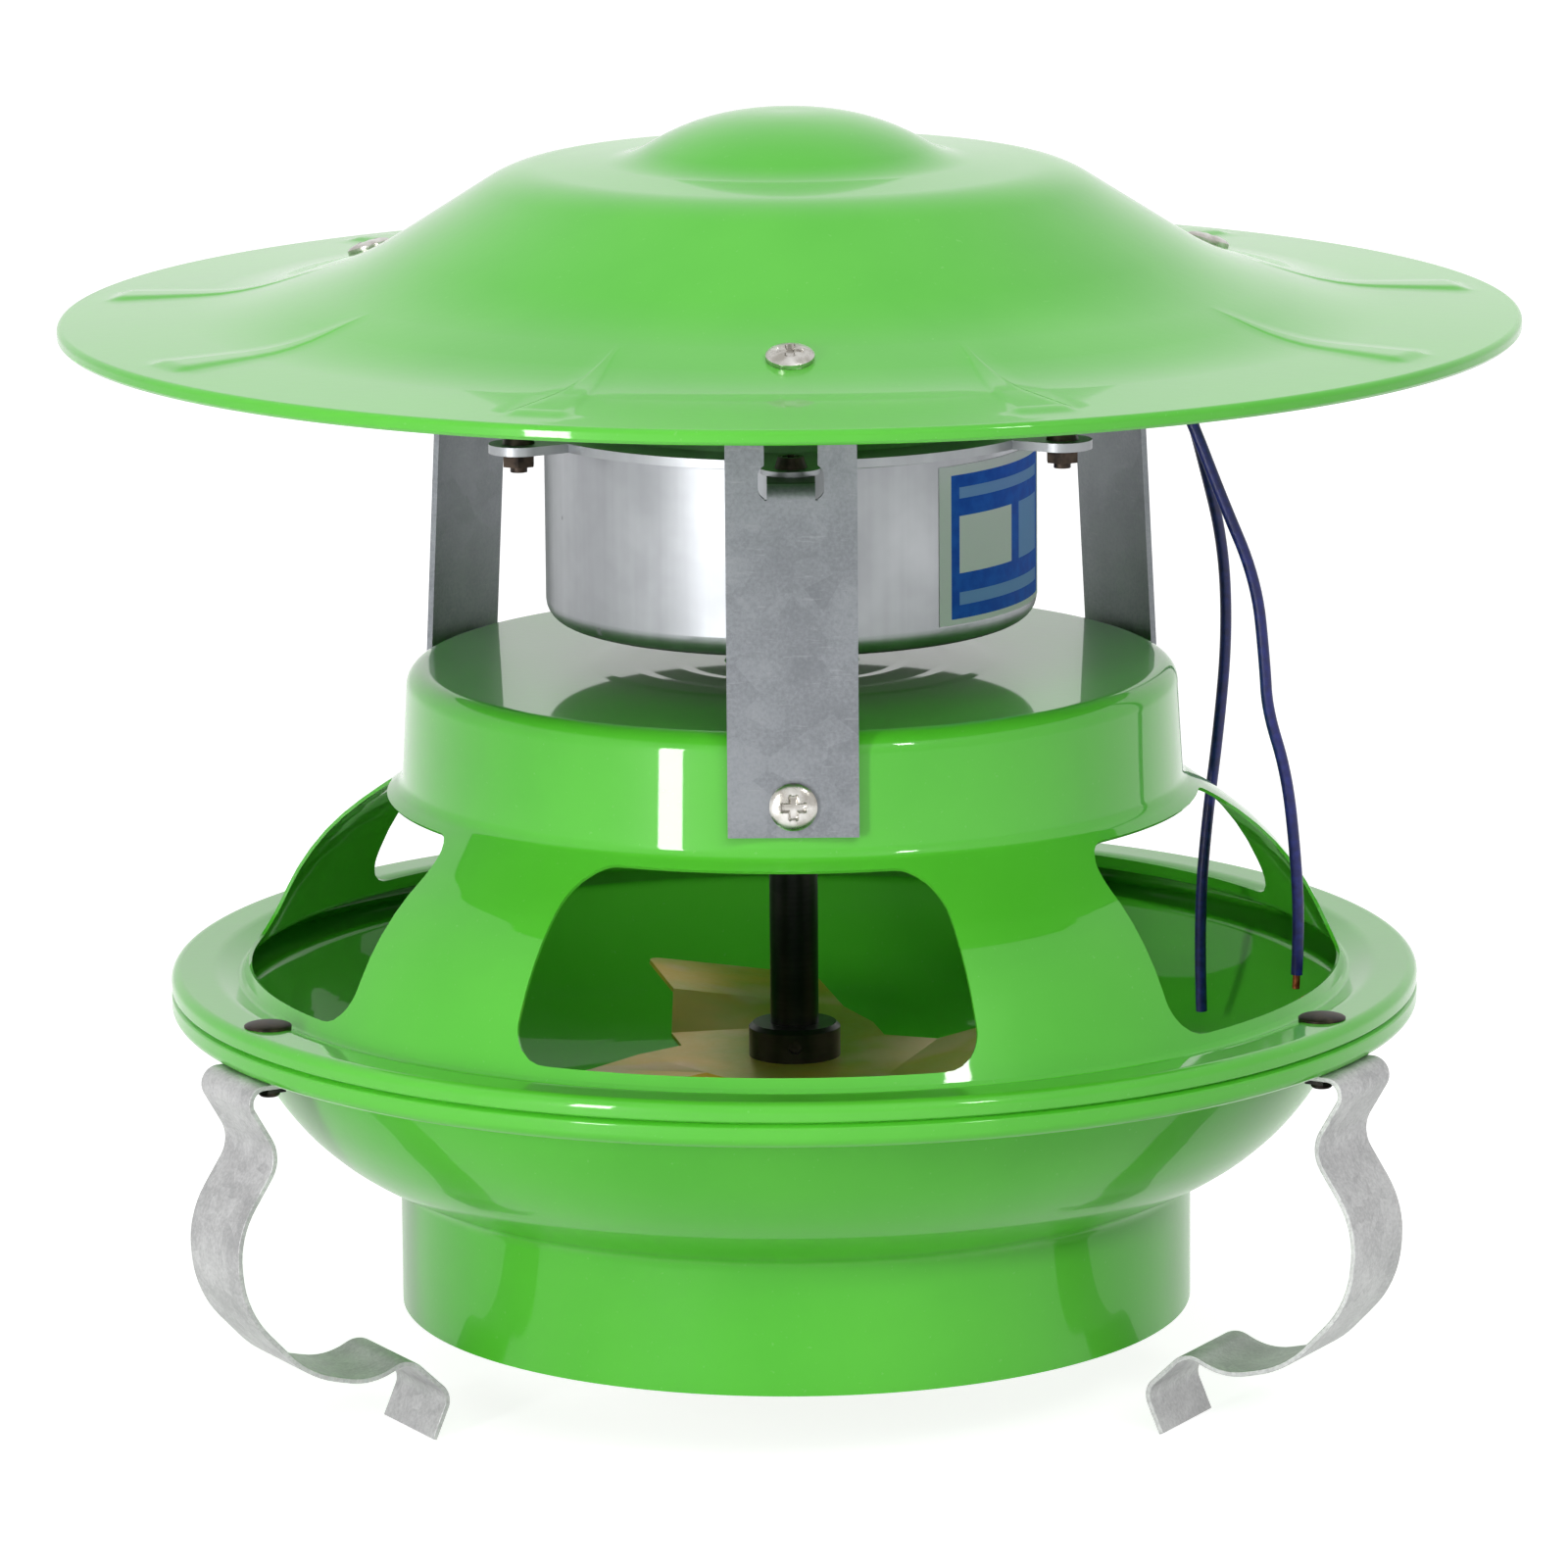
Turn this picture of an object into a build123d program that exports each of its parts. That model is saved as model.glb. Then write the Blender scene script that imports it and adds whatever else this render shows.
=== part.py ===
"""Chimney draught fan: a motor under a rain cap turns an impeller in a vented housing on a pipe neck.

Millimetres, +Z up. The origin is on the axis, at the level of the spring clip tips that the fan stands on.
Azimuth 0 faces the front (-Y), and a positive azimuth turns towards +X.
"""
import os
from math import atan, atan2, cos, pi, radians, sin, tan

from build123d import *

os.makedirs("parts", exist_ok=True)

# Sheet and strip
sheet = 0.8                   # painted steel of the cap, cover and bowl
strap_thickness = 1.5
strap_width = 30.0
clip_thickness = 1.2
clip_width = 25.0
strap_angle = 120.0           # from one strap to the next, with a clip half way between them
strap_azimuths = {"front": 0, "right": strap_angle, "left": -strap_angle}
clip_azimuths = {"right": strap_angle / 2, "rear": 180, "left": -strap_angle / 2}

# Lower bowl: neck, bowl and the flange that the clips hang from
clip_height = 91.3            # clip tips to the underside of the bowl flange
bowl_depth = 40.3             # bowl flange down to the top of the neck
neck_length = 32.0
neck_inset = 54.0             # neck's wall inside the rim
neck_corner = 4.0             # hollow corner between neck and bowl
rim_radius = 149.0
bowl_flange = 16.0            # width of the bowl's flange
bowl_bulge = 7.4              # bow of the bowl's wall beyond its chord
lower_lip = 5.6               # upturned lip of the bowl flange
rim_roll = 2.4                # bend radius of both rim edges

# Upper cover: flange, dome with windows, collar and top plate
skirt = 5.0                   # downturned edge of the cover flange
flange_dish = 2.2             # fall of the cover flange towards its root
flange_width = 16.4
dome_step = 1.3               # short riser from the flange root to the dome
dome_step_run = 1.0
dome_height = 45.0            # riser top to the foot of the collar
dome_flank = (12.6, 26.3)     # run and rise of the lower flank, up to where the two flanks would meet
dome_roll = 60.0              # round between the flanks
collar_top_radius = 91.6
collar_draft = 1.6            # collar's foot wider than its top
collar_height = 28.0
collar_roll = 5.0             # rounded edge of the top plate
collar_corner = 4.0           # hollow corner between collar and dome
shaft_hole_radius = 16.0
plate_dip = 0.8               # sunk disc round the shaft hole
plate_dip_radius = 25.0
plate_bead_radius = 42.0      # raised ring in the top plate
plate_bead_width = 8.0
plate_bead_height = 0.6
plate_slope = 2.0             # run of each slanted edge pressed in the plate
window_count = 5
window_phase = -5.4           # azimuth of the front window's centre
window_angle = 48.8
window_sill = 3.6             # height of the sill above the flange root
window_head = 2.6             # drop of the window's top below the collar foot
window_corner = 9.0

# Rain cap, heights taken from the lip's lower edge
cap_lift = 80.3               # top plate up to the cap's lower edge
cap_radius = 172.5
cap_lip = 3.4
cap_lip_roll = 1.2
cap_seat_radius = 117.0       # where the straps are screwed on
cap_seat_height = 10.3
cap_seat_angle = 18.0
cap_seat_inner = 15.0         # conical band, from the seat inwards and outwards
cap_seat_outer = 16.0
cap_shoulder = (66.0, 38.2)
cap_hollow = (38.5, 39.9)
cap_crown_radius = 19.5
cap_apex = 51.2
cap_rolls = (55.0, 20.0, 26.0, 70.0, 75.0)   # crown, hollow, shoulder, inner and outer slope
rib_count = 9
rib_phase = 20.0
rib_tip_radius = 112.0
rib_end_radius = 160.5
rib_width = 13.0
rib_rise = 1.9                # top of the rib above the cap at its wide end
rib_depth = 4.5               # reach of the pressed rib below its top, cut off at the sheet's underside

# Straps
strap_foot = 4.7              # strap's lower end above the collar foot
strap_screw_rise = 7.2        # screw above the strap's lower end
strap_bend = 4.0
tab_reach = 13.0              # strap's end past the cap screw
tongue_width = 11.0
tongue_relief = 15.0          # wider opening at the tongue's root
tongue_relief_height = 8.2
tongue_relief_round = 2.6
tongue_end = 6.5              # tongue past its screw
tongue_bend = 2.0
tongue_cut = 0.6              # shear gap round the tongue

# Spring clips: corners of the strip's inner face as radius, drop below its foot and bend radius
clip_route = (
    (rim_radius + 4.5, 0.0, 3.0),
    (rim_radius - 5.2, 16.6, 9.0),
    (rim_radius + 6.5, 34.1, 22.0),
    (rim_radius + 5.0, 52.1, 25.0),
    (rim_radius - 11.0, 69.1, 25.0),
    (rim_radius - 27.0, 73.1, 16.0),
    (rim_radius - 37.0, 68.6, 6.0),
    (rim_radius - 48.5, 79.6, 5.0),
)
clip_foot_radius = rim_radius - 15.5
clip_tip_radius = rim_radius - 43.8
clip_bolt_inset = 8.0         # bolt's centre inside the rim

# Motor
motor_gap = 11.0              # top plate to the can's underside
motor_inset = 33.3            # can's side inside the edge of the top plate
can_height = 46.5
can_wall = 0.9
can_corner = 5.0
can_flange = 5.7
can_flange_bend = 1.2
end_wall = 1.2                # motor end cover
end_crown_inset = 10.3        # crown's edge inside the can's side
end_crown_rise = 7.0
end_crown_slope = 5.0
ear_reach = 14.7              # screw circle of the six ears outside the can's side
ear_round = 7.0
ear_root = 1.7
bush_radius = 10.8
bush_length = 8.0
bush_seat = 9.0               # depth of each bush's seat
stator_length = 24.0
stator_rise = 12.0            # can's underside to the stator
stator_inner_radius = 28.0
stator_ring = 8.0             # radial width of the stator's back ring
tooth_count = 6
tooth_width = 12.0
tooth_shoe = 4.0
tooth_shoe_width = 24.0
coil_thickness = 6.0
coil_end = 6.5                # coil standing past the stator's ends
coil_round = 3.6
label_phase = 61.0
label_angle = 50.0
label_height = 37.5
label_thickness = 0.15
label_lift = 0.4              # above the can's rounded corner

# Rotor and impeller
shaft_radius = 5.8
rotor_gap = 0.5
stop_ring_radius = 9.0
stop_ring_height = 2.0
stop_ring_play = 0.3
impeller_drop = 97.5          # top plate down to the impeller's underside
impeller_sheet = 1.0
impeller_centre_radius = 27.0
blade_count = 3
blade_phase = 71.0
blade_root_radius = 28.0      # end of the flat arm
blade_twist_radius = 46.0     # end of the twist
blade_tip_radius = 82.0
blade_root_width = 50.0
blade_width = 43.0
blade_pitch = 9.0
blade_round = 4.0             # corners of the blade's tip
hub_radius = 11.0
hub_height = 8.0
hub_bevel = 1.0
shaft_tail = 13.5             # shaft below the impeller

# Screws, bolts, nuts and washers
small_shank = 2.0             # M4, on the motor
small_head = 3.8
small_nut = 7.0
large_shank = 2.5             # M5, on the straps, cap and clips
screw_head = 5.5
screw_head_height = 2.6
bolt_head_height = 1.8
large_nut = 8.0
nut_height = 3.2
thread_end = 1.4              # thread standing past a nut
head_taper_angle = 18.0       # lean of the heads' sides
recess_width = 1.4
recess_depth = 1.3
shaft_nut = 17.0
shaft_nut_height = 8.0
washer_radius = 10.5
washer_height = 1.5
set_screw_radius = 1.6

# Leads
lead_radius = 1.4
lead_tip_radius = 0.9
lead_tip_length = 3.4
grommet_inset = 12.0          # grommet's centre inside the crown's edge
grommet_shift = -2.5
grommet_radius = 7.0
grommet_neck = 5.0
grommet_height = 2.8
grommet_taper_angle = 10.0
lead_spacing = 5.0

# Clearances
hole_clearance = 0.25         # radial, round every fastener and the grommet
running_clearance = 0.04      # radial, shaft in its bushes
fit_clearance = 0.03          # radial, parts pressed or slid together
stator_clearance = 0.1
coil_clearance = 0.2
contact_gap = 0.02            # label and curved faces that lie on each other

# Radii
neck_radius = rim_radius - neck_inset
bowl_mouth_radius = rim_radius - bowl_flange
flange_root_radius = rim_radius - flange_width
dome_foot_radius = flange_root_radius - dome_step_run
collar_foot_radius = collar_top_radius + collar_draft
clip_bolt_radius = rim_radius - clip_bolt_inset
can_radius = collar_top_radius - motor_inset
can_flange_radius = can_radius + can_flange
end_crown_radius = can_radius - end_crown_inset
ear_root_radius = can_radius + ear_root
ear_radius = can_radius + ear_reach
tongue_tip_radius = ear_radius - tongue_end
grommet_offset = (end_crown_radius - grommet_inset, grommet_shift)

# Heights
rim_z = clip_height
neck_top_z = rim_z - bowl_depth
neck_bottom_z = neck_top_z - neck_length
seam_z = rim_z + lower_lip
rim_top_z = seam_z + skirt
flange_root_z = rim_top_z - flange_dish
dome_foot_z = flange_root_z + dome_step
collar_foot_z = dome_foot_z + dome_height
plate_z = collar_foot_z + collar_height
can_z = plate_z + motor_gap
can_top_z = can_z + can_height
end_plate_z = can_top_z + end_wall
end_crown_z = end_plate_z + end_crown_rise
end_boss_z = end_crown_z + bush_seat
cap_z = plate_z + cap_lift
impeller_z = plate_z - impeller_drop


def outward(azimuth):
    """Level unit vector away from the axis."""
    return Vector(sin(radians(azimuth)), -cos(radians(azimuth)), 0)


def level_plane(azimuth, radius, height):
    """Level plane at a radius and height, with local x pointing outwards."""
    origin = outward(azimuth) * radius + Vector(0, 0, height)
    return Plane(origin=origin, x_dir=outward(azimuth), z_dir=(0, 0, 1))


def upright_plane(azimuth, radius, height):
    """Upright plane that faces outwards at a radius and height, with local y pointing up."""
    origin = outward(azimuth) * radius + Vector(0, 0, height)
    return Plane(origin=origin, x_dir=Vector(0, 0, 1).cross(outward(azimuth)), z_dir=outward(azimuth))


def radial_plane(azimuth):
    """Upright plane through the axis: local x runs outwards, local y runs up."""
    return Plane(origin=(0, 0, 0), x_dir=outward(azimuth), z_dir=outward(azimuth).cross(Vector(0, 0, 1)))


def bowed_point(start, end, bulge):
    """Point off the middle of a chord, to the right of its direction for a positive bulge."""
    chord = Vector(*end) - Vector(*start)
    middle = (Vector(*start) + Vector(*end)) / 2
    side = Vector(chord.Y, -chord.X).normalized()
    return middle + side * bulge


def corner_at(path, point):
    """Vertices of a path at one point."""
    return [vertex for vertex in path.vertices() if (Vector(vertex) - Vector(*point)).length < 1e-4]


def add_screw(seat, head_radius, head_height, shank_radius, shank_length):
    """Cross-slotted screw into the current part: the head stands on the seat plane, the shank goes below."""
    with BuildSketch(seat) as head:
        Circle(head_radius)
    extrude(head.sketch, amount=head_height, taper=head_taper_angle)
    with BuildSketch(seat) as shank:
        Circle(shank_radius)
    extrude(shank.sketch, amount=-shank_length)
    with BuildSketch(seat.offset(head_height)) as recess:
        Rectangle(head_radius, recess_width)
        Rectangle(recess_width, head_radius)
    extrude(recess.sketch, amount=-recess_depth, mode=Mode.SUBTRACT)


def add_nut(seat, across_flats, height, bore_radius):
    """Hexagon nut into the current part, below the seat plane."""
    with BuildSketch(seat) as outline:
        RegularPolygon(across_flats / 2, 6, major_radius=False)
        Circle(bore_radius, mode=Mode.SUBTRACT)
    extrude(outline.sketch, amount=-height)


def finish(builder, label):
    """Name a finished piece and write it."""
    builder.part.label = label
    export_step(builder.part, f"parts/{label}.step")


# Rain cap section, along its upper face from the axis to the lip
seat_turn = radians(cap_seat_angle)
seat_along = Vector(cos(seat_turn), -sin(seat_turn))
seat_up = Vector(sin(seat_turn), cos(seat_turn))
cap_seat = Vector(cap_seat_radius, cap_z + cap_seat_height)
cap_corners = [
    Vector(cap_crown_radius, cap_z + cap_apex),
    Vector(cap_hollow[0], cap_z + cap_hollow[1]),
    Vector(cap_shoulder[0], cap_z + cap_shoulder[1]),
    cap_seat - seat_along * cap_seat_inner,
    cap_seat + seat_along * cap_seat_outer,
]
cap_edge = Vector(cap_radius, cap_z + cap_lip)
cap_route = [Vector(0, cap_z + cap_apex), *cap_corners, cap_edge, Vector(cap_radius, cap_z)]


def cap_section():
    """Closed section of the cap's sheet."""
    with BuildSketch(Plane.XZ) as section:
        with BuildLine():
            FilletPolyline(*cap_route, radius=[*cap_rolls, cap_lip_roll])
            offset(amount=sheet, side=Side.RIGHT)
        make_face()
    return section.sketch


rib_low = cap_corners[-1] + (cap_edge - cap_corners[-1]) * (
    (rib_end_radius - cap_corners[-1].X) / (cap_edge.X - cap_corners[-1].X)
)
rib_start = cap_seat - seat_along * (cap_seat_radius - rib_tip_radius) / cos(seat_turn)
rib_fall = atan2(rib_start.Y - rib_low.Y - rib_rise, rib_end_radius - rib_tip_radius)
rib_length = (rib_end_radius - rib_tip_radius) / cos(rib_fall)


def rib_plane(azimuth, depth):
    """Plane along a rib's top, sunk by a depth: local x runs outwards down the rib, from its tip."""
    along = outward(azimuth) * cos(rib_fall) - Vector(0, 0, sin(rib_fall))
    normal = outward(azimuth) * sin(rib_fall) + Vector(0, 0, cos(rib_fall))
    tip = outward(azimuth) * rib_start.X + Vector(0, 0, rib_start.Y)
    return Plane(origin=tip - normal * depth, x_dir=along, z_dir=normal)


def seat_plane(azimuth, depth):
    """Plane square to a cap screw, at a depth below the cap's upper face."""
    normal = outward(azimuth) * seat_up.X + Vector(0, 0, seat_up.Y)
    point = outward(azimuth) * cap_seat.X + Vector(0, 0, cap_seat.Y)
    side = outward(azimuth).cross(Vector(0, 0, 1))
    return Plane(origin=point - normal * depth, x_dir=side, z_dir=normal)


rib_half_angle = atan(rib_width / 2 / rib_length)
rib_wall = sheet / sin(rib_half_angle)


def rib_outline(plane, tip, end):
    """Wedge sketch of a rib, between its tip and its wide end."""
    half = (end - tip) * tan(rib_half_angle)
    with BuildSketch(plane) as outline:
        with BuildLine():
            Polyline((tip, 0), (end, -half), (end, half), close=True)
        make_face()
    return outline.sketch


rib_azimuths = [rib_phase + index * 360 / rib_count for index in range(rib_count)]
with BuildPart() as rain_cap:
    revolve(cap_section(), axis=Axis.Z)
    for azimuth in rib_azimuths:
        extrude(rib_outline(rib_plane(azimuth, 0), 0, rib_length), amount=-rib_depth)
    with BuildSketch(Plane.XZ) as hollow:
        with BuildLine():
            FilletPolyline(*cap_route, radius=[*cap_rolls, cap_lip_roll])
            offset(amount=sheet, side=Side.RIGHT, closed=False)
        with BuildLine():
            Line(Vector(cap_radius - sheet, cap_z), Vector(0, cap_z))
            Line(Vector(0, cap_z), Vector(0, cap_z + cap_apex - sheet))
        make_face()
    revolve(hollow.sketch, axis=Axis.Z, mode=Mode.SUBTRACT)
    for azimuth in rib_azimuths:
        inner = rib_outline(rib_plane(azimuth, sheet), rib_wall, rib_length - sheet)
        extrude(inner, amount=-rib_depth, mode=Mode.SUBTRACT)
    for azimuth in strap_azimuths.values():
        with BuildSketch(seat_plane(azimuth, -sheet)) as hole:
            Circle(large_shank + hole_clearance)
        extrude(hole.sketch, amount=-3 * sheet, mode=Mode.SUBTRACT)
finish(rain_cap, "rain_cap")

# Upper cover: one pressed sheet, drawn along its outer face from the shaft hole to the skirt
collar_foot = (collar_foot_radius, collar_foot_z)
collar_top = (collar_top_radius, plate_z)
dome_corner = (dome_foot_radius - dome_flank[0], dome_foot_z + dome_flank[1])
dome_foot = (dome_foot_radius, dome_foot_z)
rim_corner = (rim_radius, rim_top_z)
bead_z = plate_z + plate_bead_height
bead_inner = plate_bead_radius - plate_bead_width / 2
bead_outer = plate_bead_radius + plate_bead_width / 2
collar_lean = atan2(collar_foot_radius - collar_top_radius, collar_height)
strap_foot_z = collar_foot_z + strap_foot
strap_screw_z = strap_foot_z + strap_screw_rise


def collar_face_radius(height):
    """Radius of the collar's outer face, carried on above it, at a height."""
    return collar_foot_radius - (height - collar_foot_z) * tan(collar_lean)


def collar_plane(azimuth, height, depth):
    """Plane square to the collar's wall, at a depth inside its outer face."""
    normal = outward(azimuth) * cos(collar_lean) + Vector(0, 0, sin(collar_lean))
    point = outward(azimuth) * collar_face_radius(height) + Vector(0, 0, height)
    side = outward(azimuth).cross(Vector(0, 0, 1))
    return Plane(origin=point - normal * depth, x_dir=side, z_dir=normal)


# Wedge that cuts one window, with its four corners rounded
with BuildPart() as window:
    with BuildSketch(radial_plane(window_phase - window_angle / 2)) as opening:
        with BuildLine():
            Polyline(
                (collar_foot_radius - collar_corner, flange_root_z + window_sill),
                (rim_radius, flange_root_z + window_sill),
                (rim_radius, collar_foot_z - window_head),
                (collar_foot_radius - collar_corner, collar_foot_z - window_head),
                close=True,
            )
        make_face()
    revolve(axis=Axis.Z, revolution_arc=window_angle)
    fillet(window.edges().filter_by(GeomType.LINE).filter_by(Axis.Z, reverse=True), radius=window_corner)

with BuildPart() as upper_cover:
    with BuildSketch(Plane.XZ) as section:
        with BuildLine() as face:
            Polyline(
                (shaft_hole_radius, plate_z - plate_dip),
                (plate_dip_radius, plate_z - plate_dip),
                (plate_dip_radius + plate_slope, plate_z),
                (bead_inner - plate_slope, plate_z),
                (bead_inner, bead_z),
                (bead_outer, bead_z),
                (bead_outer + plate_slope, plate_z),
                collar_top,
                collar_foot,
                dome_corner,
                dome_foot,
                (flange_root_radius, flange_root_z),
                rim_corner,
                (rim_radius, seam_z),
            )
            fillet(corner_at(face, collar_top), radius=collar_roll)
            fillet(corner_at(face, collar_foot), radius=collar_corner)
            fillet(corner_at(face, dome_corner), radius=dome_roll)
            fillet(corner_at(face, rim_corner), radius=rim_roll)
            offset(amount=sheet, side=Side.RIGHT)
        make_face()
    revolve(axis=Axis.Z)
    with PolarLocations(0, window_count):
        add(window.part, mode=Mode.SUBTRACT)
    for azimuth in strap_azimuths.values():
        with BuildSketch(collar_plane(azimuth, strap_screw_z, -sheet)) as hole:
            Circle(large_shank + hole_clearance)
        extrude(hole.sketch, amount=-3 * sheet, mode=Mode.SUBTRACT)
    for azimuth in clip_azimuths.values():
        with Locations(level_plane(azimuth, clip_bolt_radius, rim_top_z)):
            Hole(large_shank + hole_clearance, depth=skirt)
finish(upper_cover, "upper_cover")

# Lower bowl: one spun sheet, drawn along its outer face from the neck's end to the lip
neck_top = (neck_radius, neck_top_z)
bowl_mouth = (bowl_mouth_radius, rim_z)
lip_corner = (rim_radius, rim_z)
with BuildPart() as lower_bowl:
    with BuildSketch(Plane.XZ) as section:
        with BuildLine() as face:
            Line((neck_radius, neck_bottom_z), neck_top)
            ThreePointArc(neck_top, bowed_point(neck_top, bowl_mouth, bowl_bulge), bowl_mouth)
            Polyline(bowl_mouth, lip_corner, (rim_radius, seam_z))
            fillet(corner_at(face, neck_top), radius=neck_corner)
            fillet(corner_at(face, lip_corner), radius=rim_roll)
            offset(amount=sheet, side=Side.LEFT)
        make_face()
    revolve(axis=Axis.Z)
    for azimuth in clip_azimuths.values():
        with Locations(level_plane(azimuth, clip_bolt_radius, seam_z)):
            Hole(large_shank + hole_clearance, depth=2 * lower_lip)
finish(lower_bowl, "lower_bowl")

# Support straps: up the collar's slant, out under the cap to its screw, with a tongue bent in for the motor
tab_gap = (strap_width / 2) ** 2 / (2 * (cap_seat_radius - cap_seat_inner)) * sin(seat_turn) + contact_gap
seat_under = cap_seat - seat_up * (sheet + tab_gap)
strap_start = Vector(collar_face_radius(strap_foot_z), strap_foot_z)
strap_rise = Vector(-tan(collar_lean), 1)
reach = (seat_under - strap_start).cross(seat_along).Z / strap_rise.cross(seat_along).Z
strap_top = strap_start + strap_rise * reach
tab_end = seat_under + seat_along * tab_reach
tongue_z = can_top_z - strap_thickness
tongue_root_z = tongue_z - tongue_bend
tongue_length = collar_face_radius(tongue_z) - tongue_tip_radius
slot_radius = collar_face_radius(tongue_root_z)
for side, azimuth in strap_azimuths.items():
    with BuildPart() as support_strap:
        with BuildSketch(radial_plane(azimuth)) as section:
            with BuildLine():
                FilletPolyline(strap_start, strap_top, tab_end, radius=strap_bend)
                offset(amount=strap_thickness, side=Side.RIGHT)
            make_face()
        extrude(amount=strap_width / 2, both=True)
        with BuildSketch(upright_plane(azimuth, slot_radius, tongue_root_z + tongue_relief_height / 2)) as relief:
            RectangleRounded(tongue_relief, tongue_relief_height, tongue_relief_round)
        extrude(relief.sketch, amount=4 * strap_thickness, both=True, mode=Mode.SUBTRACT)
        with BuildSketch(level_plane(azimuth, slot_radius, tongue_root_z)) as slot:
            Rectangle(8 * strap_thickness, tongue_width + 2 * tongue_cut)
        extrude(slot.sketch, amount=tongue_length, mode=Mode.SUBTRACT)
        with BuildSketch(radial_plane(azimuth)) as tongue:
            with BuildLine():
                FilletPolyline(
                    (collar_face_radius(tongue_root_z - tongue_bend), tongue_root_z - tongue_bend),
                    (collar_face_radius(tongue_z), tongue_z),
                    (tongue_tip_radius, tongue_z),
                    radius=tongue_bend,
                )
                offset(amount=strap_thickness, side=Side.RIGHT)
            make_face()
        extrude(tongue.sketch, amount=tongue_width / 2, both=True)
        for hole_plane, hole_radius in (
            (seat_plane(azimuth, 0), large_shank),
            (collar_plane(azimuth, strap_screw_z, -2 * strap_thickness), large_shank),
            (level_plane(azimuth, ear_radius, can_top_z + strap_thickness), small_shank),
        ):
            with BuildSketch(hole_plane) as hole:
                Circle(hole_radius + hole_clearance)
            extrude(hole.sketch, amount=-3 * strap_thickness, mode=Mode.SUBTRACT)
    finish(support_strap, f"support_strap_{side}")

# Screws and nuts that hold the cap and the straps
cap_stack = sheet + tab_gap + strap_thickness
nut_corner = large_nut / 2 / cos(radians(30))
nut_gap = nut_corner**2 / (2 * (collar_top_radius - sheet)) + contact_gap
with BuildPart() as cap_screws:
    for azimuth in strap_azimuths.values():
        length = cap_stack + nut_height + thread_end
        add_screw(seat_plane(azimuth, 0), screw_head, screw_head_height, large_shank, length)
finish(cap_screws, "cap_screws")

with BuildPart() as cap_nuts:
    for azimuth in strap_azimuths.values():
        add_nut(seat_plane(azimuth, cap_stack), large_nut, nut_height, large_shank + fit_clearance)
finish(cap_nuts, "cap_nuts")

with BuildPart() as strap_screws:
    for azimuth in strap_azimuths.values():
        seat = collar_plane(azimuth, strap_screw_z, -strap_thickness)
        length = strap_thickness + sheet + nut_gap + nut_height + thread_end
        add_screw(seat, screw_head, screw_head_height, large_shank, length)
finish(strap_screws, "strap_screws")

with BuildPart() as strap_nuts:
    for azimuth in strap_azimuths.values():
        seat = collar_plane(azimuth, strap_screw_z, sheet + nut_gap)
        add_nut(seat, large_nut, nut_height, large_shank + fit_clearance)
finish(strap_nuts, "strap_nuts")

# Spring clips: flat strip bolted under the bowl flange, bowed out and hooked back in to grip a pipe
clip_nut_z = rim_z - clip_thickness
clip_points = [(clip_foot_radius, clip_nut_z)]
clip_points += [(radius, clip_nut_z - drop) for radius, drop, bend in clip_route]
clip_points += [(clip_tip_radius, 0)]
for side, azimuth in clip_azimuths.items():
    with BuildPart() as spring_clip:
        with BuildSketch(radial_plane(azimuth)) as section:
            with BuildLine():
                FilletPolyline(*clip_points, radius=[bend for radius, drop, bend in clip_route])
                offset(amount=clip_thickness, side=Side.LEFT)
            make_face()
        extrude(amount=clip_width / 2, both=True)
        with Locations(level_plane(azimuth, clip_bolt_radius, rim_z)):
            Hole(large_shank + hole_clearance, depth=2 * clip_thickness)
    finish(spring_clip, f"spring_clip_{side}")

flange_slope = flange_dish / (rim_radius - flange_root_radius)
bolt_seat_z = rim_top_z - (rim_radius - clip_bolt_radius - screw_head) * flange_slope
with BuildPart() as clip_bolts:
    for azimuth in clip_azimuths.values():
        seat = level_plane(azimuth, clip_bolt_radius, bolt_seat_z)
        length = bolt_seat_z - clip_nut_z + nut_height + thread_end
        add_screw(seat, screw_head, bolt_head_height, large_shank, length)
finish(clip_bolts, "clip_bolts")

with BuildPart() as clip_nuts:
    for azimuth in clip_azimuths.values():
        seat = level_plane(azimuth, clip_bolt_radius, clip_nut_z)
        add_nut(seat, large_nut, nut_height, large_shank + fit_clearance)
finish(clip_nuts, "clip_nuts")

# Motor can: deep-drawn, with a bush seat drawn up in its floor and three ears on its flange
ear_azimuths = [*strap_azimuths.values(), *clip_azimuths.values()]


def ear_outline(azimuth, height):
    """Sketch of one screw ear, standing out from the motor's edge."""
    middle = (ear_root_radius + ear_radius) / 2
    with BuildSketch(Plane(origin=(0, 0, height), x_dir=outward(azimuth), z_dir=(0, 0, 1))) as outline:
        with Locations((middle, 0)):
            Rectangle(ear_radius - ear_root_radius, 2 * ear_round)
        with Locations((ear_radius, 0)):
            Circle(ear_round)
            Circle(small_shank + hole_clearance, mode=Mode.SUBTRACT)
    return outline.sketch


can_corner_point = (can_radius, can_z)
can_flange_point = (can_radius, can_top_z - can_wall)
bush_lip = (bush_radius, can_z)
with BuildPart() as motor_can:
    with BuildSketch(Plane.XZ) as section:
        with BuildLine() as face:
            Polyline(
                (bush_radius, can_z + bush_seat),
                bush_lip,
                can_corner_point,
                can_flange_point,
                (can_flange_radius, can_top_z - can_wall),
            )
            fillet(corner_at(face, bush_lip), radius=can_flange_bend)
            fillet(corner_at(face, can_corner_point), radius=can_corner)
            fillet(corner_at(face, can_flange_point), radius=can_flange_bend)
            offset(amount=can_wall, side=Side.LEFT)
        make_face()
    revolve(axis=Axis.Z)
    for azimuth in clip_azimuths.values():
        extrude(ear_outline(azimuth, can_top_z), amount=-can_wall)
finish(motor_can, "motor_can")

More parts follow.
